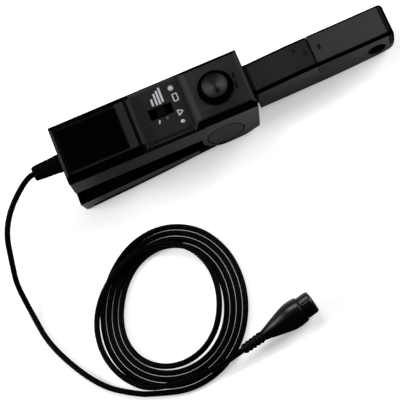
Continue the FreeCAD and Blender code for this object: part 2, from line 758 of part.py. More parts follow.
def battery():
    """Nine volt block battery and the snap it plugs into."""
    block = Piece("battery")
    middle = -(S.battery_top + battery_low) / 2
    block.upright([wide(S.battery_start, battery_end, S.battery_half)], -battery_low, -S.battery_top)
    block.along([("circle", 6.35, middle, 3.0), ("circle", -6.35, middle, 3.0)],
                battery_end - 0.5, battery_end + 3.2)
    block.soften(1.5, lambda e: size_of(e, "x") > 40)
    block.done()
    snap = Piece("battery_snap")
    snap.upright([wide(battery_end + 0.4, battery_end + 4.3, S.battery_half - 1.7)],
                 middle - 6.25, middle + 6.15)
    snap.along([("circle", 6.35, middle, 3.2), ("circle", -6.35, middle, 3.2)],
               battery_end - 0.8, battery_end + 3.6, "Pocket")
    snap.done()


def hinge_pins():
    """Hinge pin, link pin and the pair of round hinge covers."""
    pin = Piece("pivot_pin")
    pin.across([("circle", pivot_x, pivot_z, S.pin_round)], cap_face * 2 - 0.2)
    pin.done()
    link = Piece("link_pin")
    link.across([("circle", link_x, link_z, S.link_round - 0.03)],
                ear_y * 2 + S.ear_thick - 0.2)
    link.done()
    caps = Piece("pivot_caps")
    caps.across([("circle", pivot_x, pivot_z, S.cap_round)], S.body_width)
    caps.across([("circle", pivot_x, pivot_z, S.cap_round + 1)], cap_face * 2, "Pocket")
    caps.soften(0.5, lambda e: abs(abs(spans(e, "y")[0]) - half.value) < 0.02
                and size_of(e, "y") < 0.02)
    caps.done()


def lever():
    """Channel shaped squeeze lever with two ears at the hinge."""
    piece = Piece("lever")
    front_x = pivot_x - 10.1
    front_z = pivot_z - 15.5
    bend_x = pivot_x - S.bend_back
    bend_z = pivot_z - S.bend_drop
    dip_x = pivot_x - S.dip_back
    pad_x = S.heel_x + 29
    low_line = [(bend_x, bend_z), (dip_x, rest_z(dip_x) + 0.8), (pad_x, rest_z(pad_x)),
                (S.heel_x, rest_z(S.heel_x)), (0.9, rest_z(0.9) + 0.7)]
    piece.across([[tail_point, (14, rest_z(14) + S.lever_rise - 0.4), (pivot_x - 20.1, pivot_z - 8.9),
                   (front_x + 3, pivot_z - 7.8), (front_x + 3, pivot_z - 15.0),
                   (front_x, front_z)] + low_line], S.body_width)
    ring = ("circle", pivot_x, pivot_z, S.boss_round + S.boss_gap)
    piece.across([ring], S.body_width + 2, "Pocket")
    outer = half.value - 0.5
    under = bend_z.value + 2.9
    piece.soften(1.2, lambda e: at(e, "y", spans(e, "y")[0]) and abs(spans(e, "y")[0]) > outer
                 and spans(e, "z")[1] < under and size_of(e, "x") > 5)
    inner_low = [(bend_x, bend_z + S.lever_floor), (dip_x, rest_z(dip_x) + 0.8 + S.lever_floor),
                 (pad_x, rest_z(pad_x) + S.lever_floor), (S.heel_x, rest_z(S.heel_x) + S.lever_floor),
                 (S.lever_wall, rest_z(S.heel_x) + S.lever_floor)]
    piece.across([[(S.lever_wall - 1.0, -30), (front_x + 5, -30),
                   (front_x + 5, front_z + S.lever_floor + 0.8),
                   (front_x, front_z + S.lever_floor)] + inner_low],
                 (half - S.lever_wall) * 2, "Pocket")
    piece.across([[(bend_x - 2, bend_z + 0.1), (front_x, front_z), (front_x + 6, front_z + 1.1),
                   (front_x + 6, front_z + 3.7), (bend_x - 2, bend_z + S.lever_floor + 0.1)]],
                 cheek_half * 2 - 0.8)
    ear = [(bend_x + 2, bend_z + 1.4), (bend_x + 2, bend_z + 6.9), (pivot_x - 6.3, pivot_z + 4.0),
           (pivot_x + 3.9, pivot_z - 6.4), (front_x + 6, front_z + 1.9), (front_x, front_z + 0.5)]
    low, high = ear_y - S.ear_thick / 2, ear_y + S.ear_thick / 2
    for y0, y1 in ((low, high), (-high, -low)):
        piece.across_from([ear], y0, y1)
        piece.across_from([("circle", pivot_x, pivot_z, S.hub_round)], y0, y1)
    seat_low = rest_z(spring_x) + 1.7
    piece.upright([("circle", spring_x, 0, 6.5)], seat_low, seat_z)
    piece.upright([("circle", spring_x, 0, S.peg_round)], seat_low, seat_z + 3)
    piece.across([("circle", pivot_x, pivot_z, S.pin_round + S.run_fit)], ear_y * 4, "Pocket")
    piece.across([("circle", link_x, link_z, S.link_round)], ear_y * 4, "Pocket")
    piece.done()


def hold_core(piece):
    """Cut the cross hole and the ring seat of the core into a jaw."""
    piece.across([("circle", hole_x, -S.split, S.hole_round)], S.jaw_width + 2, "Pocket")
    piece.across([("circle", hole_x, -S.split, core_outer + S.core_gap),
                  ("circle", hole_x, -S.split, core_inner - S.core_gap)],
                 (S.core_half + S.core_gap) * 2, "Pocket")


def long_edge(edge):
    """Pick an outer lengthwise edge on the top of a jaw."""
    outer = abs(abs(spans(edge, "y")[0]) - S.jaw_width.value / 2) < 0.02
    return outer and size_of(edge, "y") < 0.02 and size_of(edge, "x") > 10


def upper_jaw():
    """Fixed jaw: the rear part with its root and the nose with the core."""
    rear = Piece("upper_jaw")
    end = jaw_seam - S.seam_gap / 2
    rear.across([[(jaw_start, -S.jaw_top), (jaw_start + S.jaw_rise, -S.rise_top),
                  (end, -S.seam_top), (end, upper_face), (jaw_start, upper_face)]], S.jaw_width)
    above = -(S.jaw_top.value + 0.6)
    rear.soften(S.edge_round, lambda e: long_edge(e) and spans(e, "z")[0] > above)
    rear.upright([wide(root_start, jaw_start + 0.5, root_half)], upper_face, -S.root_top)
    tenon_half = S.jaw_width / 2 - S.tenon_inset
    tenon_low = upper_face + 2.7
    room = [box(-tenon_half - 0.1, tenon_half + 0.1, tenon_low - 0.1, -8.9)]
    rear.along(room, jaw_seam - 7.6, end + 1, "Pocket")
    rear.upright(both(jaw_screw_x, S.jaw_screw_y, S.jaw_screw + 0.1), upper_face - 1, 1 - S.root_top,
                 "Pocket")
    rear.upright(both(jaw_screw_x, S.jaw_screw_y, 2.6), upper_face - 1, upper_face + 1.7, "Pocket")
    rear.done()
    nose = Piece("jaw_nose")
    start = jaw_seam + S.seam_gap / 2
    nose.across([[(start, -S.seam_top), (start + S.nose_flat, -S.nose_mid),
                  (jaw_tip - S.nose_bevel, -S.nose_top), nose_crown,
                  (jaw_tip, -(S.nose_top + 6.9)), (jaw_tip - 0.2, upper_face),
                  (start, upper_face)]], S.jaw_width)
    tip_low = jaw_tip.value - 1.4
    nose.soften(S.tip_round, lambda e: spans(e, "x")[0] > tip_low and size_of(e, "y") < 0.02
                and size_of(e, "z") > 3)
    nose.soften(S.edge_round - 0.3, lambda e: long_edge(e) and spans(e, "z")[0] > above)
    nose.along([box(-tenon_half, tenon_half, tenon_low, -9.0)], jaw_seam - 7.4, start + 0.5)
    hold_core(nose)
    nose.done()


def lower_jaw():
    """Moving jaw with the arm that reaches back over the hinge."""
    piece = Piece("lower_jaw")
    under_core = -(S.split + core_outer + S.core_gap + 0.8)
    piece.across([[(jaw_start, lower_face), (jaw_tip - 0.2, lower_face),
                   (jaw_tip - 0.8, under_core + 5.9), (hole_x + 8.2, under_core + 2.3),
                   (hole_x + 0.2, under_core), (hole_x - 15.8, under_core - 2.1),
                   (jaw_seam + 6.6, under_core - 4.0), (jaw_seam - 11.4, under_core - 4.9),
                   (jaw_start + 14.8, under_core - 5.9), (jaw_start, under_core - 6.3)]],
                 S.jaw_width)
    tip_low = jaw_tip.value - 1.4
    piece.soften(S.tip_round, lambda e: spans(e, "x")[0] > tip_low and size_of(e, "y") < 0.02
                 and size_of(e, "z") > 3)
    arm = [(jaw_start + 1, arm_top), (pivot_x + 2.9, arm_top), (pivot_x - 11.6, pivot_z - 2.4),
           (pivot_x - 13.5, link_z), (pivot_x - 11.6, pivot_z - 9.0),
           (pivot_x - 7.1, pivot_z - 9.4), (pivot_x + 10.9, pivot_z - 6.1),
           (jaw_start + 1, pivot_z - 6.1)]
    piece.across([arm], S.arm_half * 2)
    piece.across([("circle", pivot_x, pivot_z, S.hub_round)], S.arm_half * 2)
    piece.across([("circle", pivot_x, pivot_z, S.pin_round + S.run_fit)], S.jaw_width, "Pocket")
    piece.across([("circle", link_x, link_z, S.link_round)], S.jaw_width, "Pocket")
    hold_core(piece)
    piece.done()


def core_halves():
    """Two half rings of the core and the field sensor at one of their ends."""
    ring = [("circle", hole_x, -S.split, core_outer), ("circle", hole_x, -S.split, core_inner)]
    reach = core_outer + 2
    upper = Piece("core_upper")
    upper.across(ring, S.core_half * 2)
    upper.across([box(hole_x - reach, hole_x + reach, -S.split - reach, upper_face)],
                 S.core_half * 2 + 2, "Pocket")
    sensor_top = upper_face + 1.9
    upper.across([box(hole_x - reach, hole_x - 4, upper_face - 1, sensor_top)],
                 S.core_half * 2 + 2, "Pocket")
    upper.done()
    lower = Piece("core_lower")
    lower.across(ring, S.core_half * 2)
    lower.across([box(hole_x - reach, hole_x + reach, lower_face, reach - S.split)],
                 S.core_half * 2 + 2, "Pocket")
    lower.done()
    sensor = Piece("field_sensor")
    sensor.across([box(hole_x - core_outer + 0.15, hole_x - core_inner - 0.15,
                       upper_face + 0.1, sensor_top)], 4.4)
    sensor.done()


def return_spring():
    """Coil spring between the tray and the lever."""
    piece = Piece("return_spring")
    low = S.spring_wire + 0.05 + seat_z
    drawn = piece.sketch("XZ", [("circle", S.spring_round, 0, S.spring_wire)], 0, (spring_x, low))
    coil = piece.body.newObject("PartDesign::AdditiveHelix", "return_spring_coil")
    coil.Profile = drawn
    coil.ReferenceAxis = (drawn, ["V_Axis"])
    coil.Mode = 0
    height = -tray_depth - seat_z - S.spring_wire * 2 - 0.1
    coil.Pitch = height.value / 6
    coil.Height = height.value
    bind(coil, "Height", height)
    bind(coil, "Pitch", height / 6)
    drawn.Visibility = False
    doc.recompute()
    piece.done()


def strain_relief():
    """Tapered sleeve that carries the cord out of the rear wall."""
    piece = Piece("strain_relief")
    inside = S.wall + 0.05
    piece.spun([[(inside + 1.65, 0), (inside + 1.65, S.relief_collar),
                 (inside, S.relief_collar), (inside, S.relief_neck),
                 (-0.05, S.relief_neck), (-0.05, S.relief_root), (-2.2, S.relief_root),
                 (1.5 - S.relief_length, S.relief_tip + 0.5), (-S.relief_length, S.relief_tip),
                 (-S.relief_length, 0)]], "H_Axis", (0, -S.relief_depth))
    piece.done()


# Lying place of the plug: the middle of the rear face of its boot
PLUG_END = V(-54.4, -158.4, 0)


def plug():
    """Bayonet plug: boot, coupling barrel, sleeve, insulator and pin."""
    boot = Piece("plug_boot", lay_plug)
    boot.spun([[(0, 0), (0, S.neck_round), (S.neck_length, S.neck_round + 1.2),
                (S.neck_length + 1, S.neck_round + 1.9), (socket_x - 8, S.boot_round - 1.2),
                (socket_x - 2.5, S.boot_round), (S.boot_length - 5.3, S.boot_round),
                (S.boot_length, S.boot_round - 0.9), (S.boot_length, socket_round),
                (socket_x, socket_round), (socket_x, 0)]], "H_Axis")
    boot.done()
    inner = Piece("plug_sleeve", lay_plug)
    front = S.boot_length + S.nut_length - 1.2
    inside = S.boot_length - 2.8
    seat = socket_round - S.run_fit
    inner.spun([[(socket_x, 0), (socket_x, seat), (S.boot_length, seat),
                 (S.boot_length, S.sleeve_round), (front, S.sleeve_round), (front, sleeve_bore),
                 (inside, sleeve_bore), (inside, 0)]], "H_Axis")
    inner.done()
    nut = Piece("plug_nut", lay_plug)
    start = S.boot_length + 0.3
    end = S.boot_length + S.nut_length
    running = S.sleeve_round + S.run_fit * 2
    nut.spun([[(start, running), (start, S.nut_round - 0.4), (start + 0.4, S.nut_round),
               (end - 0.8, S.nut_round), (end, S.nut_round - 0.8), (end, nut_bore),
               (start + 2, nut_bore), (start + 2, running)]], "H_Axis")
    nut.done()
    core = Piece("plug_insulator", lay_plug)
    core.along([("circle", 0, 0, sleeve_bore - 0.05), ("circle", 0, 0, 0.75)], inside,
               S.boot_length + 2.2)
    core.done()
    pin = Piece("plug_pin", lay_plug)
    tip = S.boot_length + 6.8
    pin.along([("circle", 0, 0, 0.7)], inside, tip)
    pin.soften(0.4, lambda e: at(e, "x", tip.value) and size_of(e, "y") > 1)
    pin.done()


def route(points):
    """Join straight runs by tangent arcs and return the edges and radii."""
    edges = []
    radii = []
    last = points[0]
    for before, corner, after in zip(points, points[1:], points[2:]):
        back = before - corner
        ahead = after - corner
        shorter = min(back.Length, ahead.Length)
        back.normalize()
        ahead.normalize()
        turn = math.pi - back.getAngle(ahead)
        reach = 0.45 * shorter
        radius = reach / math.tan(turn / 2)
        start = corner + back * reach
        end = corner + ahead * reach
        inward = back + ahead
        inward.normalize()
        centre = corner + inward * (radius / math.cos(turn / 2))
        middle = centre - inward * radius
        edges.append(Part.LineSegment(last, start).toShape())
        edges.append(Part.Arc(start, middle, end).toShape())
        radii.append(round(radius, 1))
        last = end
    edges.append(Part.LineSegment(last, points[-1]).toShape())
    return edges, radii


def tube(label, points):
    """Return the solid of a round cord along a route."""
    edges, radii = route(points)
    wire = Part.Wire(edges)
    aim = points[1] - points[0]
    ring = Part.Wire([Part.makeCircle(S.cord_round.value, points[0], aim)])
    solid = wire.makePipeShell([ring], True, True)
    section = math.pi * S.cord_round.value ** 2
    print(f"{label}: length {wire.Length:.2f} radii {radii}")
    print(f"{label}: volume {solid.Volume:.1f}, section x length {section * wire.Length:.1f}")
    return solid


def keep(label, shape):
    """Keep a shape as a piece of its own."""
    item = doc.addObject("Part::Feature", label)
    item.Label = label
    item.Shape = shape
    item.Placement = FreeCAD.Placement()
    PIECES.append(item)


def on_probe(x, y, z):
    """Return a point of the probe where it lies."""
    cos, sin = rest_cos.value, rest_sin.value
    return V(cos * x + sin * z + base_x.value, y, cos * z - sin * x + base_z.value)


# Route of the lead from the strain relief to the coil, as it lies
LEAD = [(-166.1, -20.1, 39.0), (-177.0, -43.7, 16.9), (-179.7, -52.8, 11.8),
        (-179.5, -71.4, 1.95), (-175.3, -99.5, 1.95), (-154.1, -137.6, 1.95)]
LEAD_END = (-131.5, -153.9, 1.95)
ENTRY = [(-131.5, -153.9, 1.95), (-124.9, -158.7, 1.95), (-116.0, -162.6, 1.95),
         (-103.0, -163.2, 2.2), (-92.0, -163.0, 2.8)]
LEAVE = [(-100.0, -162.3, 3.6), (-87.0, -162.6, 4.4), (-74.5, -161.8, 7.0)]


def oval(centre, long, short, turn):
    """Return the face of an ellipse whose long axis is turned in degrees."""
    aim = FreeCAD.Rotation(V(0, 0, 1), turn).multVec(V(1, 0, 0))
    side = V(-aim.y, aim.x, 0)
    curve = Part.Ellipse(centre + aim * long, centre + side * short, centre)
    return Part.Face(Part.Wire([curve.toShape()]))


def cord():
    """Lead and coil of the cord where they lie."""
    start = on_probe(-S.relief_length.value, 0, -S.relief_depth.value)
    aim = start - on_probe(0, 0, -S.relief_depth.value)
    aim.normalize()
    points = [start, start + aim * 6.0] + [V(*spot) for spot in LEAD] + [V(*LEAD_END)]
    keep("cable_lead", tube("cable_lead", points))
    outer = oval(V(-91.4, -111.2, 0), 57.1, 48.6, 70.4)
    inner = oval(V(-89.3, -107.4, 0), 39.3, 31.8, 56.7)
    ring = outer.cut(inner).extrude(V(0, 0, S.coil_height.value))
    rims = [edge for edge in ring.Edges if size_of(edge, "z") < 0.01]
    ring = ring.makeFillet(S.cord_round.value, rims)
    turn = math.radians(PLUG_TURN)
    back = V(-math.cos(turn), -math.sin(turn), 0)
    end = V(PLUG_END.x, PLUG_END.y, S.boot_round.value)
    leave = [V(*spot) for spot in LEAVE] + [end + back * 8.0, end]
    stubs = [tube("coil entry", [V(*spot) for spot in ENTRY]), tube("coil exit", leave)]
    coil = ring.fuse(stubs)
    keep("cable_coil", coil.Solids[0] if len(coil.Solids) == 1 else coil)


def write_out():
    """Check every piece and write it to its own file."""
    doc.recompute()
    for item in doc.Objects:
        bad = [state for state in item.State if state in ("Invalid", "Error")]
        if bad:
            raise ValueError(f"{item.Name}: {bad}")
    for item in PIECES:
        shape = item.Shape
        if shape.isNull() or not shape.isValid():
            raise ValueError(f"{item.Label}: no valid shape")
        shape.exportStep(f"parts/{item.Label}.step")
        around = shape.BoundBox
        print(f"{item.Label}: solids {len(shape.Solids)} volume {shape.Volume:.1f}"
              f" x {around.XMin:.2f} {around.XMax:.2f} y {around.YMin:.2f} {around.YMax:.2f}"
              f" z {around.ZMin:.3f} {around.ZMax:.2f}")


main_housing()
belly_tray()
battery_door()
label_plate()
switch_panel()
range_switch()
lamp("power_lamp", lamp_a_x, S.lamp_a_y)
lamp("overload_lamp", lamp_b_x, -S.lamp_b_y)
zero_dial()
circuit_board()
screws("housing_screws", [(S.post_a, post_y), (post_b, post_y)], S.tray_screw, 1.8,
       -S.side_depth - 1.2, -S.side_depth, tray_tip)
screws("board_screws", [(board_a_x, S.board_y), (board_b_x, S.board_y)], S.board_screw, 1.9,
       board_low - 1.2, board_low, board_tip)
screws("jaw_screws", [(jaw_screw_x, S.jaw_screw_y)], S.jaw_screw, 2.4, upper_face + 0.2,
       upper_face + 1.7, jaw_screw_tip)
battery()
hinge_pins()
lever()
upper_jaw()
lower_jaw()
core_halves()
return_spring()
strain_relief()
plug()
cord()
write_out()
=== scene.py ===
"""Looks of a clamp-on current probe that lies on a pale surface with its coiled cord.

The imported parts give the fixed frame. Cord, dial, plug and strain relief are drawn
finer here, and thin markings are laid on the probe. Names that end in _mm hold
millimetres, and so do the points of outlines and marks. Other lengths are in metres.
Places on the probe are in its own axes: along it from its rear face, across it to its
left, and up from its top face.
"""

import logging
import math
from dataclasses import dataclass, field
from enum import Enum
from functools import reduce
from operator import mul
from typing import Callable, ClassVar, Iterable, Sequence

import bpy
from mathutils import Matrix, Vector


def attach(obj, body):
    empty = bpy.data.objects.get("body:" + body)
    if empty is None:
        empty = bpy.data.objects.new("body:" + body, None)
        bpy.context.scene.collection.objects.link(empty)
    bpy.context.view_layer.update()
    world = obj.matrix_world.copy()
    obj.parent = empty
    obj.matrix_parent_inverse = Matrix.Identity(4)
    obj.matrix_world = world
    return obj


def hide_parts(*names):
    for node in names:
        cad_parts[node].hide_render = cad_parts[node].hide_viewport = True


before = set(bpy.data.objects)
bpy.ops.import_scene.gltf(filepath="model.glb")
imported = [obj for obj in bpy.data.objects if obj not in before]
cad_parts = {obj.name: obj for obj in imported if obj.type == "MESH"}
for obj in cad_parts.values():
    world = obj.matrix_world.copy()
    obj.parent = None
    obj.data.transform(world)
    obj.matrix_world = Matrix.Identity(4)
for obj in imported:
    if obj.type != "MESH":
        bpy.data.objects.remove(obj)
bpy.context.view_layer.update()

LOG = logging.getLogger("probe")
Pair = tuple[float, float]
Point = tuple[float, float, float]
Colour = tuple[float, float, float]
Corner = tuple[float, float, float]
Mesh = tuple[list[Point], list[list[int]]]
Paint = dict[str, bpy.types.Material]

MM = 0.001
# Radius that stands for the axis where a turned outline closes
AXIS_MM = 0.01
# Middle of the dial along the probe, and the middle of its dimple from there
DIAL_X_MM = 112.2
DIMPLE_MM: Pair = (0.6, -3.6)
# Where the cord goes into the plug boot, in the frame
PLUG_REAR_MM: Point = (-54.4, -158.4, 9.2)
# Numbers of a Mix node's sockets for colours
MIX_FACTOR, MIX_FIRST, MIX_SECOND, MIX_RESULT = 0, 6, 7, 2


class Body(Enum):
    """Bodies that the drawn pieces ride on, by their names in the frame."""

    HOUSING = "body"
    DIAL = "dial"
    BARREL = "barrel"


class Operation(Enum):
    """Math node operations that the shader expressions use."""

    ADD = "ADD"
    SUBTRACT = "SUBTRACT"
    MULTIPLY = "MULTIPLY"
    DIVIDE = "DIVIDE"
    POWER = "POWER"
    MAXIMUM = "MAXIMUM"
    MINIMUM = "MINIMUM"
    ABSOLUTE = "ABSOLUTE"
    GREATER = "GREATER_THAN"
    LESS = "LESS_THAN"


@dataclass(frozen=True)
class Lie:
    """How the probe lies: its own axes turned by a tilt and moved.

    Attributes:
        heel_mm: Where the rear of the lever touches the surface, along and down.
        toe_mm: Where the front of the housing touches it, along and down.
        tail_mm: Rear end of the lever along the probe, and its height over the surface.
        crown_mm: Where the nose ends, along and up.
    """

    heel_mm: Pair = (4.0, 58.37)
    toe_mm: Pair = (119.0, 43.02)
    tail_mm: Pair = (-1.2, 14.0)
    crown_mm: Pair = (232.8, -5.2)

    def slope(self) -> float:
        """Return how much nearer the surface comes with each millimetre along."""
        return (self.heel_mm[1] - self.toe_mm[1]) / (self.toe_mm[0] - self.heel_mm[0])

    def tilt(self) -> float:
        """Return the angle in radians that the probe dips toward the jaw tip."""
        return math.atan(self.slope())

    def depth_mm(self) -> float:
        """Return the distance from the top face to the surface at the rear face."""
        return self.heel_mm[1] + self.slope() * self.heel_mm[0]

    def shift_mm(self) -> float:
        """Return the distance that brings the probe's middle over the origin."""
        tail_up = self.slope() * self.tail_mm[0] - self.depth_mm() + self.tail_mm[1]
        along = (self.tail_mm[0] + self.crown_mm[0]) / 2
        up = (tail_up + self.crown_mm[1]) / 2 + self.depth_mm()
        return math.cos(self.tilt()) * along + math.sin(self.tilt()) * up

    def matrix(self) -> Matrix:
        """Return the matrix from the probe's own metres to the frame."""
        turn = Matrix.Rotation(self.tilt(), 4, "Y")
        lift = Matrix.Translation((0, 0, self.depth_mm() * MM))
        return Matrix.Translation((-self.shift_mm() * MM, 0, 0)) @ turn @ lift

    def point(self, x: float, y: float, z: float) -> Vector:
        """Return a point of the probe, given in millimetres, in the frame."""
        return self.matrix() @ Vector((x * MM, y * MM, z * MM))


LIE = Lie()


class Signal:
    """One node socket that can be used in Python expressions."""

    def __init__(self, nodes: "Nodes", socket: bpy.types.NodeSocket) -> None:
        """Keep the tree and the socket."""
        self.nodes = nodes
        self.socket = socket

    def _with(self, operation: Operation, other: "Signal | float", swap: bool = False) -> "Signal":
        """Return an operation's result with another value, which goes first if swapped."""
        first, second = (other, self) if swap else (self, other)
        return self.nodes.math(operation, first, second)

    def __add__(self, other: "Signal | float") -> "Signal":
        """Return this signal plus another."""
        return self._with(Operation.ADD, other)

    def __radd__(self, other: float) -> "Signal":
        """Return a number plus this signal."""
        return self._with(Operation.ADD, other, True)

    def __sub__(self, other: "Signal | float") -> "Signal":
        """Return this signal less another."""
        return self._with(Operation.SUBTRACT, other)

    def __rsub__(self, other: float) -> "Signal":
        """Return a number less this signal."""
        return self._with(Operation.SUBTRACT, other, True)

    def __mul__(self, other: "Signal | float") -> "Signal":
        """Return this signal times another."""
        return self._with(Operation.MULTIPLY, other)

    def __rmul__(self, other: float) -> "Signal":
        """Return a number times this signal."""
        return self._with(Operation.MULTIPLY, other, True)

    def __truediv__(self, other: "Signal | float") -> "Signal":
        """Return this signal divided by another."""
        return self._with(Operation.DIVIDE, other)

    def __pow__(self, other: "Signal | float") -> "Signal":
        """Return this signal raised to a power."""
        return self._with(Operation.POWER, other)

    def __gt__(self, other: "Signal | float") -> "Signal":
        """Return 1 where this signal is greater, or else 0."""
        return self._with(Operation.GREATER, other)

    def __lt__(self, other: "Signal | float") -> "Signal":
        """Return 1 where this signal is less, or else 0."""
        return self._with(Operation.LESS, other)

    def __abs__(self) -> "Signal":
        """Return this signal without its sign."""
        return self.nodes.math(Operation.ABSOLUTE, self)

    def clamped(self) -> "Signal":
        """Return the signal held between 0 and 1."""
        return self._with(Operation.MAXIMUM, 0.0)._with(Operation.MINIMUM, 1.0)

    def with_rest(self, other: "Signal", share: float) -> "Signal":
        """Return a share of this signal and the rest of another."""
        return self * share + other * (1.0 - share)

    def between(self, values: Pair) -> "Signal":
        """Return the first value where the signal is 0 and the second where it is 1."""
        return self * (values[1] - values[0]) + values[0]


class Nodes:
    """A node tree, with one method for each kind of step."""

    def __init__(self, tree: bpy.types.NodeTree, output: str) -> None:
        """Empty a tree and add its output node.

        Args:
            tree: The node tree.
            output: Type name of the output node.
        """
        self.tree = tree
        self.tree.nodes.clear()
        self.output = self.tree.nodes.new(output)

    def node(self, kind: str, settings: dict[str, object] | None = None,
             numbered: Sequence[tuple[int, object]] = (), **inputs: object) -> bpy.types.Node:
        """Add a node.

        Args:
            kind: The node's type name.
            settings: Properties set on the node itself, before its sockets.
            numbered: Values or signals by the number of their input.
            **inputs: Values or signals by the name of their input, with _ for a space.

        Returns:
            The node.
        """
        made = self.tree.nodes.new(kind)
        for key, value in (settings or {}).items():
            setattr(made, key, value)
        for number, value in numbered:
            self.feed(made.inputs[number], value)
        for key, value in inputs.items():
            self.feed(made.inputs[key.replace("_", " ")], value)
        return made

    def result(self, output: int | str, kind: str, settings: dict[str, object] | None = None,
               numbered: Sequence[tuple[int, object]] = (), **inputs: object) -> Signal:
        """Add a node and return one of its outputs, by number or name."""
        return Signal(self, self.node(kind, settings, numbered, **inputs).outputs[output])

    def feed(self, socket: bpy.types.NodeSocket, value: object) -> None:
        """Link a signal into a socket, or set the socket's own value."""
        if isinstance(value, Signal):
            self.tree.links.new(value.socket, socket)
        else:
            socket.default_value = value

    def math(self, operation: Operation, first: "Signal | float",
             second: "Signal | float" = 0.0) -> Signal:
        """Return a Math node's result for two signals or numbers."""
        return self.result(0, "ShaderNodeMath", {"operation": operation.value},
                           ((0, first), (1, second)))

    def parts(self, vector: Signal) -> tuple[Signal, Signal, Signal]:
        """Return the three parts of a vector."""
        made = self.node("ShaderNodeSeparateXYZ", Vector=vector)
        return tuple(Signal(self, output) for output in made.outputs)

    def blend(self, factor: "Signal | float", first: object, second: object) -> Signal:
        """Return two colours mixed by a factor."""
        colours = [value if isinstance(value, Signal) else (*value, 1.0)
                   for value in (first, second)]
        return self.result(MIX_RESULT, "ShaderNodeMix", {"data_type": "RGBA"},
                           ((MIX_FACTOR, factor), *zip((MIX_FIRST, MIX_SECOND), colours)))


class Sky(Nodes):
    """The surroundings: white near the horizon and dim above it."""

    def __init__(self, world: bpy.types.World) -> None:
        """Start on a world's own node tree."""
        world.use_nodes = True
        super().__init__(world.node_tree, "ShaderNodeOutputWorld")

    def paint(self, low: Colour, high: Colour, start: float, end: float) -> None:
        """Blend from the colour at the horizon to the colour above it.

        Args:
            low: Colour at the horizon.
            high: Colour overhead.
            start: Sine of the height at which the horizon's colour ends.
            end: Sine of the height at which the colour overhead begins.
        """
        rise = self.parts(self.result("Generated", "ShaderNodeTexCoord"))[2]
        share = ((rise - start) / (end - start)).clamped()
        light = self.result(0, "ShaderNodeBackground", Color=self.blend(share, low, high),
                            Strength=1.0)
        self.feed(self.output.inputs["Surface"], light)


@dataclass(frozen=True)
class Noise:
    """One noise pattern.

    Attributes:
        scale: Spots per metre.
        detail: Layers of finer spots.
        roughness: Weight of the finer layers.
    """

    scale: float
    detail: float = 3.0
    roughness: float = 0.55


class Shader(Nodes):
    """A material's node tree.

    Attributes:
        BEVEL_SAMPLES: Samples with which an edge is rounded.
    """

    BEVEL_SAMPLES = 6

    def __init__(self, name: str) -> None:
        """Start a new material by its name."""
        self.material = bpy.data.materials.new(name)
        self.material.use_nodes = True
        super().__init__(self.material.node_tree, "ShaderNodeOutputMaterial")

    def place(self) -> Signal:
        """Return the object coordinates, in metres of the frame."""
        return self.result("Object", "ShaderNodeTexCoord")

    def on_probe(self, spot_mm: Point = (0.0, 0.0, 0.0)) -> Signal:
        """Return the place from a spot of the probe, in metres of its own axes."""
        return self.result(0, "ShaderNodeMapping", {"vector_type": "TEXTURE"},
                           Vector=self.place(), Location=tuple(LIE.point(*spot_mm)),
                           Rotation=(0.0, LIE.tilt(), 0.0))

    def noise(self, pattern: Noise) -> Signal:
        """Return a noise pattern."""
        return self.result(0, "ShaderNodeTexNoise", Vector=self.place(), Scale=pattern.scale,
                           Detail=pattern.detail, Roughness=pattern.roughness)

    def wave(self, scale: float, axis: str) -> Signal:
        """Return bands along one axis."""
        return self.result("Fac", "ShaderNodeTexWave", {"bands_direction": axis},
                           Vector=self.place(), Scale=scale)

    def soft_normal(self, radius_mm: float) -> Signal:
        """Return the normal with edges rounded to a radius."""
        return self.result(0, "ShaderNodeBevel", {"samples": self.BEVEL_SAMPLES},
                           Radius=radius_mm * MM)

    def true_normal(self) -> Signal:
        """Return the normal of the surface as it is built."""
        return self.result("True Normal", "ShaderNodeNewGeometry")

    def edge(self, radius_mm: float) -> Signal:
        """Return how much the rounded normal leaves the true one."""
        agreement = self.result("Value", "ShaderNodeVectorMath", {"operation": "DOT_PRODUCT"},
                                ((0, self.soft_normal(radius_mm)), (1, self.true_normal())))
        return (1.0 - agreement).clamped()

    def scaled(self, colour: Signal, shade: Signal) -> Signal:
        """Return a colour multiplied by a shade."""
        return self.result(0, "ShaderNodeVectorMath", {"operation": "SCALE"}, ((0, colour),),
                           Scale=shade)

    def bump(self, height: Signal, depth_mm: float, edge_mm: float = 0.0) -> Signal:
        """Return a bumped normal, on softened edges where they have a radius."""
        softened = {"Normal": self.soft_normal(edge_mm)} if edge_mm else {}
        return self.result(0, "ShaderNodeBump", Strength=1.0, Distance=depth_mm * MM,
                           Height=height, **softened)

    def surface(self, **inputs: object) -> bpy.types.Material:
        """End the tree in one principled surface and return the material."""
        self.feed(self.output.inputs["Surface"],
                  self.result(0, "ShaderNodeBsdfPrincipled", **inputs))
        return self.material


def times(colour: Colour, factor: float) -> Colour:
    """Return a colour with each part multiplied, up to 1."""
    return tuple(min(1.0, part * factor) for part in colour)


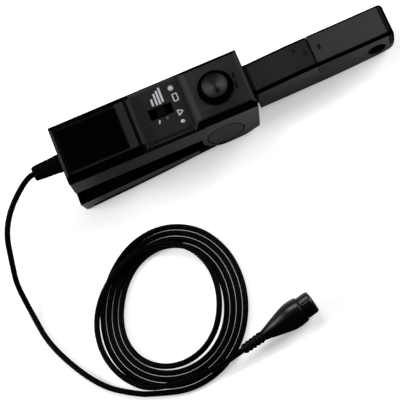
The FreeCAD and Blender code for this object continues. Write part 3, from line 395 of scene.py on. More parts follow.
@dataclass(frozen=True)
class Finish:
    """A solid finish with grain, uneven roughness and softened edges.

    Attributes:
        name: Name of the material.
        colour: Base colour, linear.
        rough: Middle roughness.
        grain: Grains per metre.
        depth_mm: Height of the grain.
        edge_mm: Radius that edges are softened to.
        wear: How much the edges pale.
        metal: Metallic share.
        gleam: Specular level.
        spread: How far the roughness varies.
        stain: How far the colour varies.
        CLOUDS: Pattern of the wide stains.
        SPECKS: Pattern of the small stains.
        CLOUD_SHARE: Share of the wide stains.
        RUBBED: Pattern that breaks up the pale edges.
        RUB_GAIN: How quickly an edge pales.
        RUB_PALE: What a pale edge has beside its share of the colour.
        PATCHES: Pattern of the roughness.
        GRAIN_ROUGHNESS: Weight of the finest grain.
        GRAIN_SHARE: Share of the fine grain in the height.
        COARSER: How much larger the coarse grain is.
    """

    name: str
    colour: Colour
    rough: float = 0.5
    grain: float = 2600.0
    depth_mm: float = 0.02
    edge_mm: float = 0.35
    wear: float = 0.6
    metal: float = 0.0
    gleam: float = 0.5
    spread: float = 0.08
    stain: float = 0.12

    CLOUDS: ClassVar[Noise] = Noise(90.0, 4.0)
    SPECKS: ClassVar[Noise] = Noise(1400.0, 2.0)
    CLOUD_SHARE: ClassVar[float] = 0.7
    RUBBED: ClassVar[Noise] = Noise(240.0)
    RUB_GAIN: ClassVar[float] = 3.0
    RUB_PALE: ClassVar[float] = 0.004
    PATCHES: ClassVar[Noise] = Noise(160.0)
    GRAIN_ROUGHNESS: ClassVar[float] = 0.6
    GRAIN_SHARE: ClassVar[float] = 0.7
    COARSER: ClassVar[float] = 7.0

    def tint(self, shader: Shader) -> Signal:
        """Return the base colour with stains and pale edges."""
        stains = shader.noise(self.CLOUDS).with_rest(shader.noise(self.SPECKS), self.CLOUD_SHARE)
        base = shader.blend(stains.clamped(), times(self.colour, 1.0 - self.stain),
                            times(self.colour, 1.0 + self.stain))
        if not self.wear or not self.edge_mm:
            return base
        pale = tuple(min(1.0, part * (1.0 + self.wear) + self.RUB_PALE) for part in self.colour)
        worn = shader.edge(self.edge_mm) * self.RUB_GAIN * shader.noise(self.RUBBED)
        return shader.blend(worn.clamped(), base, pale)

    def roughness(self, shader: Shader) -> Signal:
        """Return the uneven roughness."""
        return self.rough + (shader.noise(self.PATCHES) - 0.5) * (self.spread * 2)

    def relief(self, shader: Shader) -> Signal:
        """Return the height pattern of the surface."""
        fine = shader.noise(Noise(self.grain, roughness=self.GRAIN_ROUGHNESS))
        coarse = shader.noise(Noise(self.grain / self.COARSER, 2.0))
        return fine.with_rest(coarse, self.GRAIN_SHARE)

    def make(self) -> bpy.types.Material:
        """Build the material."""
        shader = Shader(self.name)
        return shader.surface(
            Base_Color=self.tint(shader), Roughness=self.roughness(shader).clamped(),
            Metallic=self.metal, Specular_IOR_Level=self.gleam,
            Normal=shader.bump(self.relief(shader), self.depth_mm, self.edge_mm))


@dataclass(frozen=True)
class Zone:
    """A box on the probe where light or shade is painted into a moulded finish's colour.

    Attributes:
        low_mm: Low corner, in the probe's own axes.
        high_mm: High corner.
        shade: What the colour is multiplied by there: above 1 it is painted light, below 1 painted
            shade.
        slope: Rise of the box with each millimetre along the probe.
        fade_mm: Length over which the shade comes in from each end, or 0.
    """

    low_mm: Point
    high_mm: Point
    shade: float
    slope: float = 0.0
    fade_mm: float = 0.0

    def inside(self, place: tuple[Signal, Signal, Signal]) -> Signal:
        """Return 1 inside the box and 0 outside it."""
        along, across, up = place
        low, high = ([edge * MM for edge in corner] for corner in (self.low_mm, self.high_mm))
        masks = []
        if self.fade_mm:
            rate = 1.0 / (self.fade_mm * MM)
            masks += [((along - low[0]) * rate).clamped(), ((high[0] - along) * rate).clamped()]
        for i, axis in enumerate((along, across, up - along * self.slope)):
            masks += [axis > low[i], axis < high[i]]
        return reduce(mul, masks)


@dataclass(frozen=True)
class Rim:
    """A ring on the probe's side with painted shade.

    Attributes:
        spot_mm: Middle of the ring along the probe and in height.
        radius_mm: Inner and outer radius.
        shade: What the colour is multiplied by there, as painted shade.
    """

    spot_mm: Pair
    radius_mm: Pair
    shade: float

    def inside(self, place: tuple[Signal, Signal, Signal]) -> Signal:
        """Return 1 in the ring and 0 off it."""
        along, up = place[0] - self.spot_mm[0] * MM, place[2] - self.spot_mm[1] * MM
        away = (along * along + up * up) ** 0.5
        return (away > self.radius_mm[0] * MM) * (away < self.radius_mm[1] * MM)


@dataclass(frozen=True)
class Bevelled(Finish):
    """A moulded finish whose long bevels are polished and painted darker as shade, with painted
    light and shade on its walls, top and zones.

    Attributes:
        bevel: Painted shade of the bevels.
        slant: Least and greatest share of the normal that points sideways on a bevel.
        front: How far slopes that face the jaw tip are polished and painted darker too, from 0 to
            1.
        side: Painted light and shade of the side walls at the rear and at the front.
        reach_mm: Where the side walls have those shades, along the probe.
        top: Painted light and shade of the top at the same two places.
        zones: Places where light and shade are painted.
        sheen: Weight of a soft coat, which the painted light and shade change too, so that its
            sheen is partly painted.
        BEVEL_UP: Least share of a bevel's normal that points up.
        FRONT_AHEAD: Least share of a front slope's normal that points to the jaw tip.
        FRONT_UP: Least share of a front slope's normal that points up.
        WALL: Least share of a side wall's normal that points sideways.
        SMOOTHER: How much less rough a bevel is.
        FLATTER: How much less grain a bevel has.
        COAT_ROUGH: Roughness of the soft coat.
    """

    bevel: float = 0.1
    slant: Pair = (0.45, 0.92)
    front: float = 0.0
    side: Pair = (1.0, 1.0)
    reach_mm: Pair = (0.0, 133.0)
    top: Pair = (1.0, 1.0)
    zones: tuple[Zone | Rim, ...] = ()
    sheen: float = 0.12

    BEVEL_UP: ClassVar[float] = 0.2
    FRONT_AHEAD: ClassVar[float] = 0.35
    FRONT_UP: ClassVar[float] = 0.05
    WALL: ClassVar[float] = 0.95
    SMOOTHER: ClassVar[float] = 0.4
    FLATTER: ClassVar[float] = 0.8
    COAT_ROUGH: ClassVar[float] = 0.45

    def make(self) -> bpy.types.Material:
        """Build the material, with the bevels picked by their slope."""
        shader = Shader(self.name)
        place = shader.parts(shader.on_probe())
        ahead, across, up = shader.parts(shader.true_normal())
        side = abs(across)
        sloped = (side > self.slant[0]) * (side < self.slant[1]) * (up > self.BEVEL_UP)
        facing = (ahead > self.FRONT_AHEAD) * (up > self.FRONT_UP) * self.front
        polished = (sloped + facing).clamped()
        start, end = (r * MM for r in self.reach_mm)
        share = ((place[0] - start) / (end - start)).clamped()
        wall = (side > self.WALL) * share.between(self.side)
        face = (side < self.WALL) * share.between(self.top)
        # Painted light and shade: the side walls and top get painted gradients along the probe,
        # the bevels are painted darker, each zone multiplies the colour, and the coat's weight
        # follows the same painted shade
        shade = (wall + face) * (1.0 - polished * (1.0 - self.bevel))
        for zone in self.zones:
            shade = shade * (1.0 + zone.inside(place) * (zone.shade - 1.0))
        rough = self.roughness(shader) * (1.0 - polished * self.SMOOTHER)
        height = self.relief(shader) * (1.0 - polished * self.FLATTER)
        return shader.surface(
            Base_Color=shader.scaled(self.tint(shader), shade), Roughness=rough.clamped(),
            Metallic=self.metal, Specular_IOR_Level=self.gleam, Coat_Roughness=self.COAT_ROUGH,
            Coat_Weight=(shade * (1.0 - polished) * self.sheen).clamped(),
            Normal=shader.bump(height, self.depth_mm, self.edge_mm))


@dataclass(frozen=True)
class Sheath(Finish):
    """Smooth rubber of a cord, with faint rubbed patches.

    Attributes:
        DUSTY: Pattern of the rubbed patches.
        DUST_START: Value of the pattern at which a patch starts.
        DUST_GAIN: How quickly it comes in from there.
        DUST_ROUGH: What it adds to the roughness.
        DUST_PALE: What its palest colour is multiplied by.
        DUST_SHARE: Share of that colour in a patch.
        UNEVEN: Pattern of the small changes in roughness.
        UNEVEN_ROUGH: How far they go.
        SKIN: Pattern of the skin.
        SKIN_SHARE: Its share in the height.
        TWIST: Scale of the faint bands, per metre.
        TWIST_SHARE: Their share in the height.
    """

    DUSTY: ClassVar[Noise] = Noise(70.0, 5.0)
    DUST_START: ClassVar[float] = 0.52
    DUST_GAIN: ClassVar[float] = 6.0
    DUST_ROUGH: ClassVar[float] = 0.12
    DUST_PALE: ClassVar[float] = 1.8
    DUST_SHARE: ClassVar[float] = 0.5
    UNEVEN: ClassVar[Noise] = Noise(500.0)
    UNEVEN_ROUGH: ClassVar[float] = 0.1
    SKIN: ClassVar[Noise] = Noise(1500.0, 2.0)
    SKIN_SHARE: ClassVar[float] = 0.6
    TWIST: ClassVar[float] = 220.0
    TWIST_SHARE: ClassVar[float] = 0.1

    def make(self) -> bpy.types.Material:
        """Build the material."""
        shader = Shader(self.name)
        rubbed = ((shader.noise(self.DUSTY) - self.DUST_START) * self.DUST_GAIN).clamped()
        uneven = (shader.noise(self.UNEVEN) - 0.5) * self.UNEVEN_ROUGH
        rough = self.rough + rubbed * self.DUST_ROUGH + uneven
        dust = shader.blend(rubbed * self.DUST_SHARE, self.colour,
                            times(self.colour, self.DUST_PALE))
        twist = shader.wave(self.TWIST, "DIAGONAL") * self.TWIST_SHARE
        height = shader.noise(self.SKIN) * self.SKIN_SHARE + twist
        return shader.surface(
            Base_Color=dust, Roughness=rough.clamped(), Specular_IOR_Level=self.gleam,
            Normal=shader.bump(height, self.depth_mm))


@dataclass(frozen=True)
class PaintedSheenGloss(Finish):
    """A moulded finish with a painted sheen: its clear coat reflects the lamps, but it lies only
    on the upper left flank that faces the back lamp, and is weaker toward the rear.

    Attributes:
        flank: Shares of across and up in the direction that the gloss faces.
        flank_gain: How quickly the gloss comes in on the flank.
        front_mm: Where the gloss comes in along the frame.
        front_gain: How quickly it comes in there, per metre.
        rear: Share of the gloss behind that place.
        coat_rough: Roughness of the gloss.
        coat_tint: Colour of the gloss.
    """

    flank: Pair = (0.92, 0.36)
    flank_gain: float = 2.4
    front_mm: float = -40.0
    front_gain: float = 90.0
    rear: float = 0.15
    coat_rough: float = 0.3
    coat_tint: tuple[float, float, float, float] = (0.8, 1.0, 0.92, 1.0)

    def make(self) -> bpy.types.Material:
        """Build the material, with the gloss picked by its slope."""
        shader = Shader(self.name)
        _, across, up = shader.parts(shader.true_normal())
        # Painted sheen: the coat is laid only where the surface faces up and to the left, toward
        # the back lamp, so where its highlight shows is painted
        turned = ((across * self.flank[0] + up * self.flank[1]) * self.flank_gain).clamped()
        along = shader.parts(shader.place())[0]
        ahead = ((along - self.front_mm * MM) * self.front_gain).clamped()
        return shader.surface(
            Base_Color=self.tint(shader), Roughness=self.roughness(shader).clamped(),
            Specular_IOR_Level=self.gleam, Coat_Roughness=self.coat_rough,
            Coat_Weight=(turned * ahead.between((self.rear, 1.0))).clamped(),
            Coat_Tint=self.coat_tint,
            Normal=shader.bump(self.relief(shader), self.depth_mm, self.edge_mm))


@dataclass(frozen=True)
class Brushed(Finish):
    """Turned or drawn metal with fine lines.

    Attributes:
        LINES: Scale of the lines, per metre.
        LINE_SHARE: Their share in the height.
    """

    LINES: ClassVar[float] = 1800.0
    LINE_SHARE: ClassVar[float] = 0.6

    def relief(self, shader: Shader) -> Signal:
        """Return fine lines across the frame's x axis with a trace of grain."""
        lines = shader.wave(self.LINES, "X")
        return lines.with_rest(shader.noise(Noise(self.grain)), self.LINE_SHARE)


@dataclass(frozen=True)
class Turned(Finish):
    """A dished face with fine rings, with two gleams painted into its colour at its front and
    rear.

    Attributes:
        spot_mm: The middle of the rings on the probe.
        pitch_mm: Distance from ring to ring.
        ring_share: Share of the rings in the height.
        dull: Painted shade of the two sides between the painted gleams.
        lobe_power: How narrow the two painted gleams are.
        middle_area: Square of the distance within which the painted gleams fade.
        dimple_mm: Radius of the painted shade in the dimple.
        dimple_start: Share of that radius, squared, at which it begins to lighten.
        dimple_dark: Painted shade in the dimple.
        face_mm: Radius at which the face is darkest.
        face_power: How late it darkens toward there.
        face_dark: How much it darkens.
        MOTTLE: Pattern of the uneven shade.
        MOTTLE_SHADES: Shades at its low and high values.
        FLECK: Pattern of the uneven colour.
        FLECK_STAIN: How far the colour varies.
    """

    spot_mm: Point = (DIAL_X_MM, 0.0, 4.0)
    pitch_mm: float = 0.26
    ring_share: float = 0.8
    dull: float = 0.22
    lobe_power: float = 1.3
    middle_area: float = 0.5e-6
    dimple_mm: float = 1.7
    dimple_start: float = 0.35
    dimple_dark: float = 0.06
    face_mm: float = 7.8
    face_power: float = 3.0
    face_dark: float = 0.55

    MOTTLE: ClassVar[Noise] = Noise(900.0)
    MOTTLE_SHADES: ClassVar[Pair] = (0.85, 1.15)
    FLECK: ClassVar[Noise] = Noise(300.0)
    FLECK_STAIN: ClassVar[float] = 0.08

    def tint(self, shader: Shader) -> Signal:
        """Return the colour with two painted gleams, painted shade between them and painted shade
        in the dimple.
        """
        x, y, _ = shader.parts(shader.on_probe(self.spot_mm))
        far = x * x + y * y + self.middle_area
        # Painted highlight: two gleams along the probe, with painted shade on the sides between
        # them
        lobes = ((x * x) / far) ** self.lobe_power
        # Painted shade in the dimple
        off_x, off_y = x - DIMPLE_MM[0] * MM, y - DIMPLE_MM[1] * MM
        away = (off_x * off_x + off_y * off_y) / (self.dimple_mm * MM) ** 2
        painted_dimple_shade = (away - self.dimple_start).clamped().between((self.dimple_dark, 1.0))
        late = (far / (self.face_mm * MM) ** 2) ** self.face_power
        edge = 1.0 - late.clamped() * self.face_dark
        mottle = shader.noise(self.MOTTLE).between(self.MOTTLE_SHADES)
        shade = lobes.between((self.dull, 1.0)) * painted_dimple_shade * edge * mottle
        base = shader.blend(shader.noise(self.FLECK), times(self.colour, 1.0 - self.FLECK_STAIN),
                            times(self.colour, 1.0 + self.FLECK_STAIN))
        return shader.scaled(base, shade)

    def relief(self, shader: Shader) -> Signal:
        """Return rings with a trace of grain."""
        # A wave pattern of scale 1 turns by 20 radians in each metre
        rings = shader.result("Fac", "ShaderNodeTexWave",
                              {"wave_type": "RINGS", "rings_direction": "Z"},
                              Vector=shader.on_probe(self.spot_mm),
                              Scale=math.tau / (20 * self.pitch_mm * MM))
        return rings.with_rest(shader.noise(Noise(self.grain)), self.ring_share)


SHELL_ZONES: tuple[Zone, ...] = (
    # Right side wall: painted light at the rear end, painted shade along the top edge and on the
    # strip below the hinge boss
    Zone((-20, -22, -25), (21, -21, -4), 2.0, fade_mm=18),
    Zone((0, -21.6, -5.4), (96, -21.4, -4.3), 0.15),
    Zone((86, -22, -46), (105, -21, -39.5), 0.15),
    # Cross rib: painted shade on its rear edge and top, painted light on its right bevel
    Zone((53.0, -22, -1), (54.5, 22, 1), 0.1),
    Zone((54.8, -17, -1), (57, 17, 1), 0.8),
    Zone((54.8, -21, -4.4), (57, -17, 0.1), 4.8),
    # Painted shade on the right shoulder beside the switch field
    Zone((56.6, -21.6, -4.8), (90, -19.3, -4.3), 0.1),
    # Slope up to the dial deck: painted shade at its foot, painted light at its head
    Zone((89.3, -18, -5), (91.9, 22, 0.05), 0.55),
    Zone((91.9, -18, -5), (93.6, 22, 0.05), 1.3),
    # Dial deck: painted light on its rear edge, painted shade on its right edge and on the strip
    # to the right of the dial
    Zone((93.6, -18, -0.1), (96.2, 18, 0.1), 1.65),
    Zone((93.5, -18, -0.1), (134, -16.9, 0.1), 0.4),
    Zone((96, -17, -0.1), (127, -12, 0.1), 0.7, fade_mm=8),
    # Painted light on the front bevel, painted shade on the front face below it
    Zone((130.9, -18.5, -2.0), (132.9, 18.5, 0.0), 1.4),
    Zone((132.9, -22, -9), (134, 22, -0.9), 0.3))
DOOR_ZONES: tuple[Zone, ...] = (
    # Painted light on the rear edge, painted shade at the front end
    Zone((-0.1, -20, -2.1), (1.9, 20, 0.1), 1.3),
    Zone((52.1, -22, -5), (53, 22, 0.1), 0.2),
    # Painted shade around the label: behind it, to its left and right, and in front of it
    Zone((2, -17, -0.1), (4.4, 17, 0.1), 0.15),
    Zone((4.4, 14.8, -0.1), (46, 17, 0.1), 0.2),
    Zone((4.4, -16.2, -0.1), (46, -14, 0.1), 0.2),
    Zone((45.5, -15, -0.1), (46.5, 15, 0.1), 0.2))
LEVER_ZONES: tuple[Zone, ...] = (
    # Right wall: painted shadow along the lower edge, painted light at the rear end, painted shade
    # at the front end
    Zone((7, -22, -62), (120, -21, -54.2), 0.1, slope=0.1335),
    Zone((-20, -22, -60), (14, -21, -40), 2.2, fade_mm=12),
    Zone((86, -22, -60), (120, -21, -20), 0.12))
JAW_ZONES: tuple[Zone, ...] = (
    # Painted shade at the root, along the right edge and on the rear side of the cross seam
    Zone((120, -12, -20), (136.0, 12, 0), 0.25),
    Zone((130, -11, -20), (232, -8.9, 0), 0.35),
    Zone((178.3, -9, -20), (179.4, 9, 0), 0.3))
NOSE_ZONES: tuple[Zone, ...] = (
    # Painted shade at the tip, along the right edge and on the front side of the cross seam
    Zone((228.8, -12, -20), (234, 12, 0), 0.2),
    Zone((179, -11.2, -20), (234, -9.1, 0), 0.1),
    Zone((179, -11, -8), (179.9, 11, 0), 0.35))


def printed(name: str, colour: Colour, rough: float, gleam: float = 0.5) -> Finish:
    """Return the finish of a thin flat mark."""
    return Finish(name, colour, rough=rough, gleam=gleam, edge_mm=0.0, wear=0.0, depth_mm=0.004)


@dataclass(frozen=True)
class Finishes:
    """Every finish on the object."""

    # Painted light and shade: in the moulded finishes below, the side, top, bevel and zone shades
    # multiply the colour in place of light and shade
    shell: Finish = Bevelled(
        "shell", (0.0135, 0.0139, 0.0136), rough=0.5, gleam=0.0, side=(1.5, 4.0),
        top=(1.4, 1.0), reach_mm=(40.0, 128.0), zones=SHELL_ZONES)
    door: Finish = Bevelled(
        "door_shell", (0.0112, 0.0114, 0.0114), rough=0.48, gleam=0.0, bevel=0.06,
        zones=DOOR_ZONES)
    # Painted shade on the lever's top faces, which lie under the housing
    lever: Finish = Bevelled(
        "lever_shell", (0.0150, 0.0150, 0.0155), rough=0.52, gleam=0.0, slant=(0.1, 0.97),
        side=(3.5, 3.5), top=(0.1, 0.1), zones=LEVER_ZONES)
    panel: Finish = Bevelled(
        "panel_film", (0.0140, 0.0147, 0.0140), rough=0.45, grain=5200.0, depth_mm=0.008,
        edge_mm=0.12, gleam=0.0, stain=0.2, bevel=0.6, sheen=0.05,
        # Painted shade along the right margin of the panel
        zones=(Zone((57, -20, -6), (90, -15.9, -4), 0.55),))
    label: Finish = Finish("black_plate", (0.0008, 0.0008, 0.0009), rough=0.3, grain=3800.0,
                           depth_mm=0.004, edge_mm=0.1, wear=0.2, gleam=0.0)
    jaw: Finish = Bevelled(
        "jaw_shell", (0.0112, 0.0119, 0.0110), rough=0.5, gleam=0.0, slant=(0.06, 0.985),
        side=(2.6, 4.2), top=(1.15, 0.9), reach_mm=(134.0, 182.0), bevel=0.08, stain=0.2,
        zones=JAW_ZONES)
    nose: Finish = Bevelled(
        "nose_shell", (0.0270, 0.0285, 0.0270), rough=0.5, gleam=0.0, slant=(0.06, 0.985),
        front=1.0, side=(1.5, 2.3), top=(0.95, 1.15), reach_mm=(180.0, 226.0), bevel=0.05,
        zones=NOSE_ZONES)
    lower: Finish = Bevelled(
        "lower_jaw_shell", (0.0150, 0.0150, 0.0154), rough=0.5, gleam=0.0, side=(2.4, 3.2),
        reach_mm=(134.0, 200.0))
    cap: Finish = Bevelled(
        "cover", (0.0150, 0.0155, 0.0152), rough=0.42, gleam=0.0, grain=3600.0, depth_mm=0.01,
        # Painted shade in a ring around the pivot cap's edge
        side=(2.6, 2.6), zones=(Rim((107.1, -27.4), (12.3, 14.0), 0.3),))
    dial: Finish = Turned("dial_top", (0.052, 0.052, 0.054), rough=0.4, grain=4200.0,
                          depth_mm=0.012, edge_mm=0.0, wear=0.0, gleam=0.05)
    dark: Finish = Finish("dark_plastic", (0.0011, 0.0011, 0.0012), rough=0.45, gleam=0.0)
    flank: Finish = Finish("dial_flank_black", (0.0008, 0.0009, 0.0009), rough=0.35, gleam=0.0,
                           wear=0.0)
    knob: Finish = Finish("knob", (0.0016, 0.0009, 0.0018), rough=0.4, gleam=0.02)
    lamp: Finish = Finish("milky_lens", (0.42, 0.43, 0.42), rough=0.3, edge_mm=0.1, wear=0.0,
                          depth_mm=0.005)
    print_white: Finish = printed("white_print", (0.40, 0.40, 0.43), 0.5)
    print_grey: Finish = printed("grey_print", (0.12, 0.11, 0.11), 0.5)
    print_dark: Finish = printed("dark_engraving", (0.0030, 0.0030, 0.0030), 0.6, 0.0)
    print_soft: Finish = printed("worn_engraving", (0.0080, 0.0084, 0.0080), 0.6, 0.0)
    sheath: Finish = Sheath("sheath", (0.0011, 0.0011, 0.0013), rough=0.42, gleam=0.02)
    relief: Finish = Finish("relief_rubber", (0.0028, 0.0028, 0.0031), rough=0.5, gleam=0.0,
                            grain=1800.0, stain=0.5)
    boot: Finish = PaintedSheenGloss("plug_gloss", (0.0021, 0.0028, 0.0020), rough=0.4, gleam=0.0,
                          grain=1500.0, depth_mm=0.006, edge_mm=0.2, stain=0.6)
    steel: Finish = Brushed("steel", (0.42, 0.42, 0.43), rough=0.32, metal=1.0, depth_mm=0.01)
    brass: Finish = Brushed("brass", (0.62, 0.45, 0.18), rough=0.3, metal=1.0, depth_mm=0.01)
    plated: Finish = Brushed("plated", (0.62, 0.62, 0.63), rough=0.2, metal=1.0, depth_mm=0.006)
    iron: Finish = Brushed("core_iron", (0.16, 0.16, 0.17), rough=0.5, metal=0.8, depth_mm=0.03)
    board: Finish = Finish("solder_mask", (0.015, 0.11, 0.045), rough=0.3, edge_mm=0.1,
                           grain=900.0)
    white: Finish = Finish("insulator", (0.72, 0.72, 0.70), rough=0.4, edge_mm=0.1, wear=0.0)
    wrap: Finish = Finish("battery_wrap", (0.03, 0.03, 0.035), rough=0.3, edge_mm=0.4)

    def build(self) -> Paint:
        """Return each finish's material by its field name."""
        return {name: getattr(self, name).make() for name in self.__dataclass_fields__}


NODE_FINISH: dict[str, str] = {
    "main_housing": "shell", "belly_tray": "dark", "battery_door": "door",
    "label_plate": "label", "switch_panel": "panel", "range_switch_case": "dark",
    "range_knob": "knob", "power_lamp": "lamp", "overload_lamp": "lamp", "zero_dial": "dial",
    "dial_shaft": "brass", "potentiometer": "plated", "circuit_board": "board",
    "housing_screws": "steel", "board_screws": "steel", "jaw_screws": "steel",
    "battery": "wrap", "battery_snap": "dark", "pivot_pin": "steel", "link_pin": "steel",
    "pivot_caps": "cap", "lever": "lever", "upper_jaw": "jaw", "jaw_nose": "nose",
    "lower_jaw": "lower", "core_upper": "iron", "core_lower": "iron", "field_sensor": "dark",
    "return_spring": "steel", "strain_relief": "relief", "cable_lead": "sheath",
    "cable_coil": "sheath", "plug_boot": "boot", "plug_nut": "boot", "plug_sleeve": "plated",
    "plug_insulator": "white", "plug_pin": "brass",
}


def added(name: str, data: bpy.types.ID) -> bpy.types.Object:
    """Return a new object of the scene with its data."""
    made = bpy.data.objects.new(name, data)
    bpy.context.scene.collection.objects.link(made)
    return made


def drawn(name: str, points: Sequence[Point], faces: Sequence[Sequence[int]],
          place: Matrix | None = None, smooth: bool = True) -> bpy.types.Object:
    """Draw a mesh piece.

    Args:
        name: Name of the piece.
        points: Its points in millimetres.
        faces: Its faces, by the numbers of their points.
        place: Matrix that puts it in its place, or None where it is there already.
        smooth: Whether its faces are shaded smooth.

    Returns:
        The piece, with its place in its mesh.
    """
    mesh = bpy.data.meshes.new(name)
    mesh.from_pydata([Vector(p) * MM for p in points], [], [list(f) for f in faces])
    if place is not None:
        mesh.transform(place)
    mesh.validate()
    mesh.polygons.foreach_set("use_smooth", [smooth] * len(mesh.polygons))
    mesh.update()
    return added(name, mesh)


def dressed(piece: bpy.types.Object, material: bpy.types.Material, body: Body, slot: str,
            *replaced: str) -> bpy.types.Object:
    """Give a piece its material and body, and hide the nodes that it stands for.

    Args:
        piece: The drawn piece.
        material: Its only material.
        body: The body it rides on.
        slot: The record slot that it belongs to; not used.
        *replaced: Nodes that it stands for, if any.

    Returns:
        The same piece.
    """
    piece.data.materials.clear()
    piece.data.materials.append(material)
    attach(piece, body.value)
    if replaced:
        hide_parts(*replaced)
    return piece


def ring_faces(rings: int, steps: int) -> list[list[int]]:
    """Return the faces between rings of points, each ring with the same steps."""
    return [[r * steps + i, r * steps + (i + 1) % steps, (r + 1) * steps + (i + 1) % steps,
             (r + 1) * steps + i] for r in range(rings - 1) for i in range(steps)]


def turned_mesh(outline: Sequence[Pair], steps: int,
                wave: Callable[[float, float, float], float] | None = None,
                first: bool = True, last: bool = True) -> Mesh:
    """Turn an outline of (height, radius) about the z axis.

    Args:
        outline: Points from one end to the other.
        steps: Faces around.
        wave: Radius for a height, a radius and an angle, or None for a round one.
        first: Whether a face closes the first end.
        last: Whether a face closes the last end.

    Returns:
        Points and faces.
    """
    points: list[Point] = []
    for height, radius in outline:
        for i in range(steps):
            angle = math.tau * i / steps
            reach = wave(height, radius, angle) if wave else radius
            points.append((reach * math.cos(angle), reach * math.sin(angle), height))
    faces = ring_faces(len(outline), steps)
    if first:
        faces.append(list(range(steps))[::-1])
    if last:
        faces.append([(len(outline) - 1) * steps + i for i in range(steps)])
    return points, faces


def rounded(outline: Sequence[Corner], pieces: int = 6) -> list[Pair]:
    """Round the corners of an outline of (height, radius, corner radius).

    Args:
        outline: Corners, of which the first and the last stay sharp.
        pieces: Straight pieces in each rounding.

    Returns:
        Points of (height, radius).
    """
    most = 0.49  # share of a side that one rounding may take
    made: list[Pair] = []
    for i, (height, radius, corner) in enumerate(outline):
        here = Vector((height, radius))
        if not corner or i in (0, len(outline) - 1):
            made.append((height, radius))
            continue
        before = Vector(outline[i - 1][:2]) - here
        after = Vector(outline[i + 1][:2]) - here
        reach = min(corner, before.length * most, after.length * most)
        start = here + before.normalized() * reach
        end = here + after.normalized() * reach
        for k in range(pieces + 1):
            t = k / pieces
            spot = start * (1 - t) ** 2 + here * 2 * t * (1 - t) + end * t * t
            made.append((spot.x, spot.y))
    return made


def toward(spot: Vector, aim: Vector) -> Matrix:
    """Return the matrix that puts the z axis along an aim at a spot."""
    turn = aim.to_track_quat("Z", "Y").to_matrix().to_4x4()
    return Matrix.Translation(spot) @ turn


@dataclass
class RoundRow:
    """Copies of a small rib around a circle, by Geometry Nodes.

    Attributes:
        name: Name of the finished piece.
        count: How many ribs.
        radius_mm: Circle that the ribs stand on.
        size_mm: Rib size outward, around and along the axis.
        lean: Degrees that each rib leans toward the axis.
        height_mm: Height of the circle over the origin.
        FINENESS: Subdivisions of the ball that a rib is made from.
    """

    name: str
    count: int
    radius_mm: float
    size_mm: Point
    lean: float
    height_mm: float

    FINENESS: ClassVar[int] = 3

    def tree(self, material: bpy.types.Material) -> bpy.types.NodeTree:
        """Return the node group: ribs on a circle, made real."""
        group = bpy.data.node_groups.new(self.name, "GeometryNodeTree")
        for label, kind, way in (
                ("Geometry", "Geometry", "INPUT"), ("Count", "Int", "INPUT"),
                ("Radius", "Float", "INPUT"), ("Rib Size", "Vector", "INPUT"),
                ("Lean", "Float", "INPUT"), ("Geometry", "Geometry", "OUTPUT")):
            group.interface.new_socket(label, in_out=way, socket_type=f"NodeSocket{kind}")
        steps = Nodes(group, "NodeGroupOutput")
        given = steps.node("NodeGroupInput").outputs
        count, radius, size, lean = (Signal(steps, given[label])
                                     for label in ("Count", "Radius", "Rib Size", "Lean"))
        circle = steps.result("Mesh", "GeometryNodeMeshCircle", Vertices=count, Radius=radius)
        ball = steps.result("Mesh", "GeometryNodeMeshIcoSphere", Radius=0.5,
                            Subdivisions=self.FINENESS)
        rib = steps.result("Geometry", "GeometryNodeTransform", Geometry=ball, Scale=size)
        outward = steps.result(0, "FunctionNodeAlignEulerToVector", {"axis": "X"},
                               Vector=steps.result(0, "GeometryNodeInputPosition"))
        leaning = steps.result(0, "FunctionNodeRotateEuler", {"space": "LOCAL"},
                               Rotation=outward,
                               Rotate_By=steps.result(0, "ShaderNodeCombineXYZ", Y=lean))
        copies = steps.result(0, "GeometryNodeInstanceOnPoints", Points=circle, Instance=rib,
                              Rotation=leaning)
        real = steps.result(0, "GeometryNodeRealizeInstances", Geometry=copies)
        painted = steps.result(0, "GeometryNodeSetMaterial", Geometry=real, Material=material)
        steps.feed(steps.output.inputs["Geometry"], painted)
        return group

    def build(self, material: bpy.types.Material, place: Matrix) -> bpy.types.Object:
        """Run the node group once and return its plain mesh in place."""
        holder = added(f"{self.name}_source", bpy.data.meshes.new(self.name))
        group = self.tree(material)
        change = holder.modifiers.new("ribs", "NODES")
        change.node_group = group
        values = {"Count": self.count, "Radius": self.radius_mm * MM,
                  "Rib Size": [s * MM for s in self.size_mm], "Lean": math.radians(self.lean)}
        for item in group.interface.items_tree:
            if item.in_out == "INPUT" and item.name in values:
                change[item.identifier] = values[item.name]
        bpy.context.view_layer.update()
        seen = holder.evaluated_get(bpy.context.evaluated_depsgraph_get())
        mesh = bpy.data.meshes.new_from_object(seen)
        holder.modifiers.remove(change)
        bpy.data.objects.remove(holder)
        mesh.transform(place @ Matrix.Translation((0, 0, self.height_mm * MM)))
        mesh.polygons.foreach_set("use_smooth", [True] * len(mesh.polygons))
        return added(self.name, mesh)


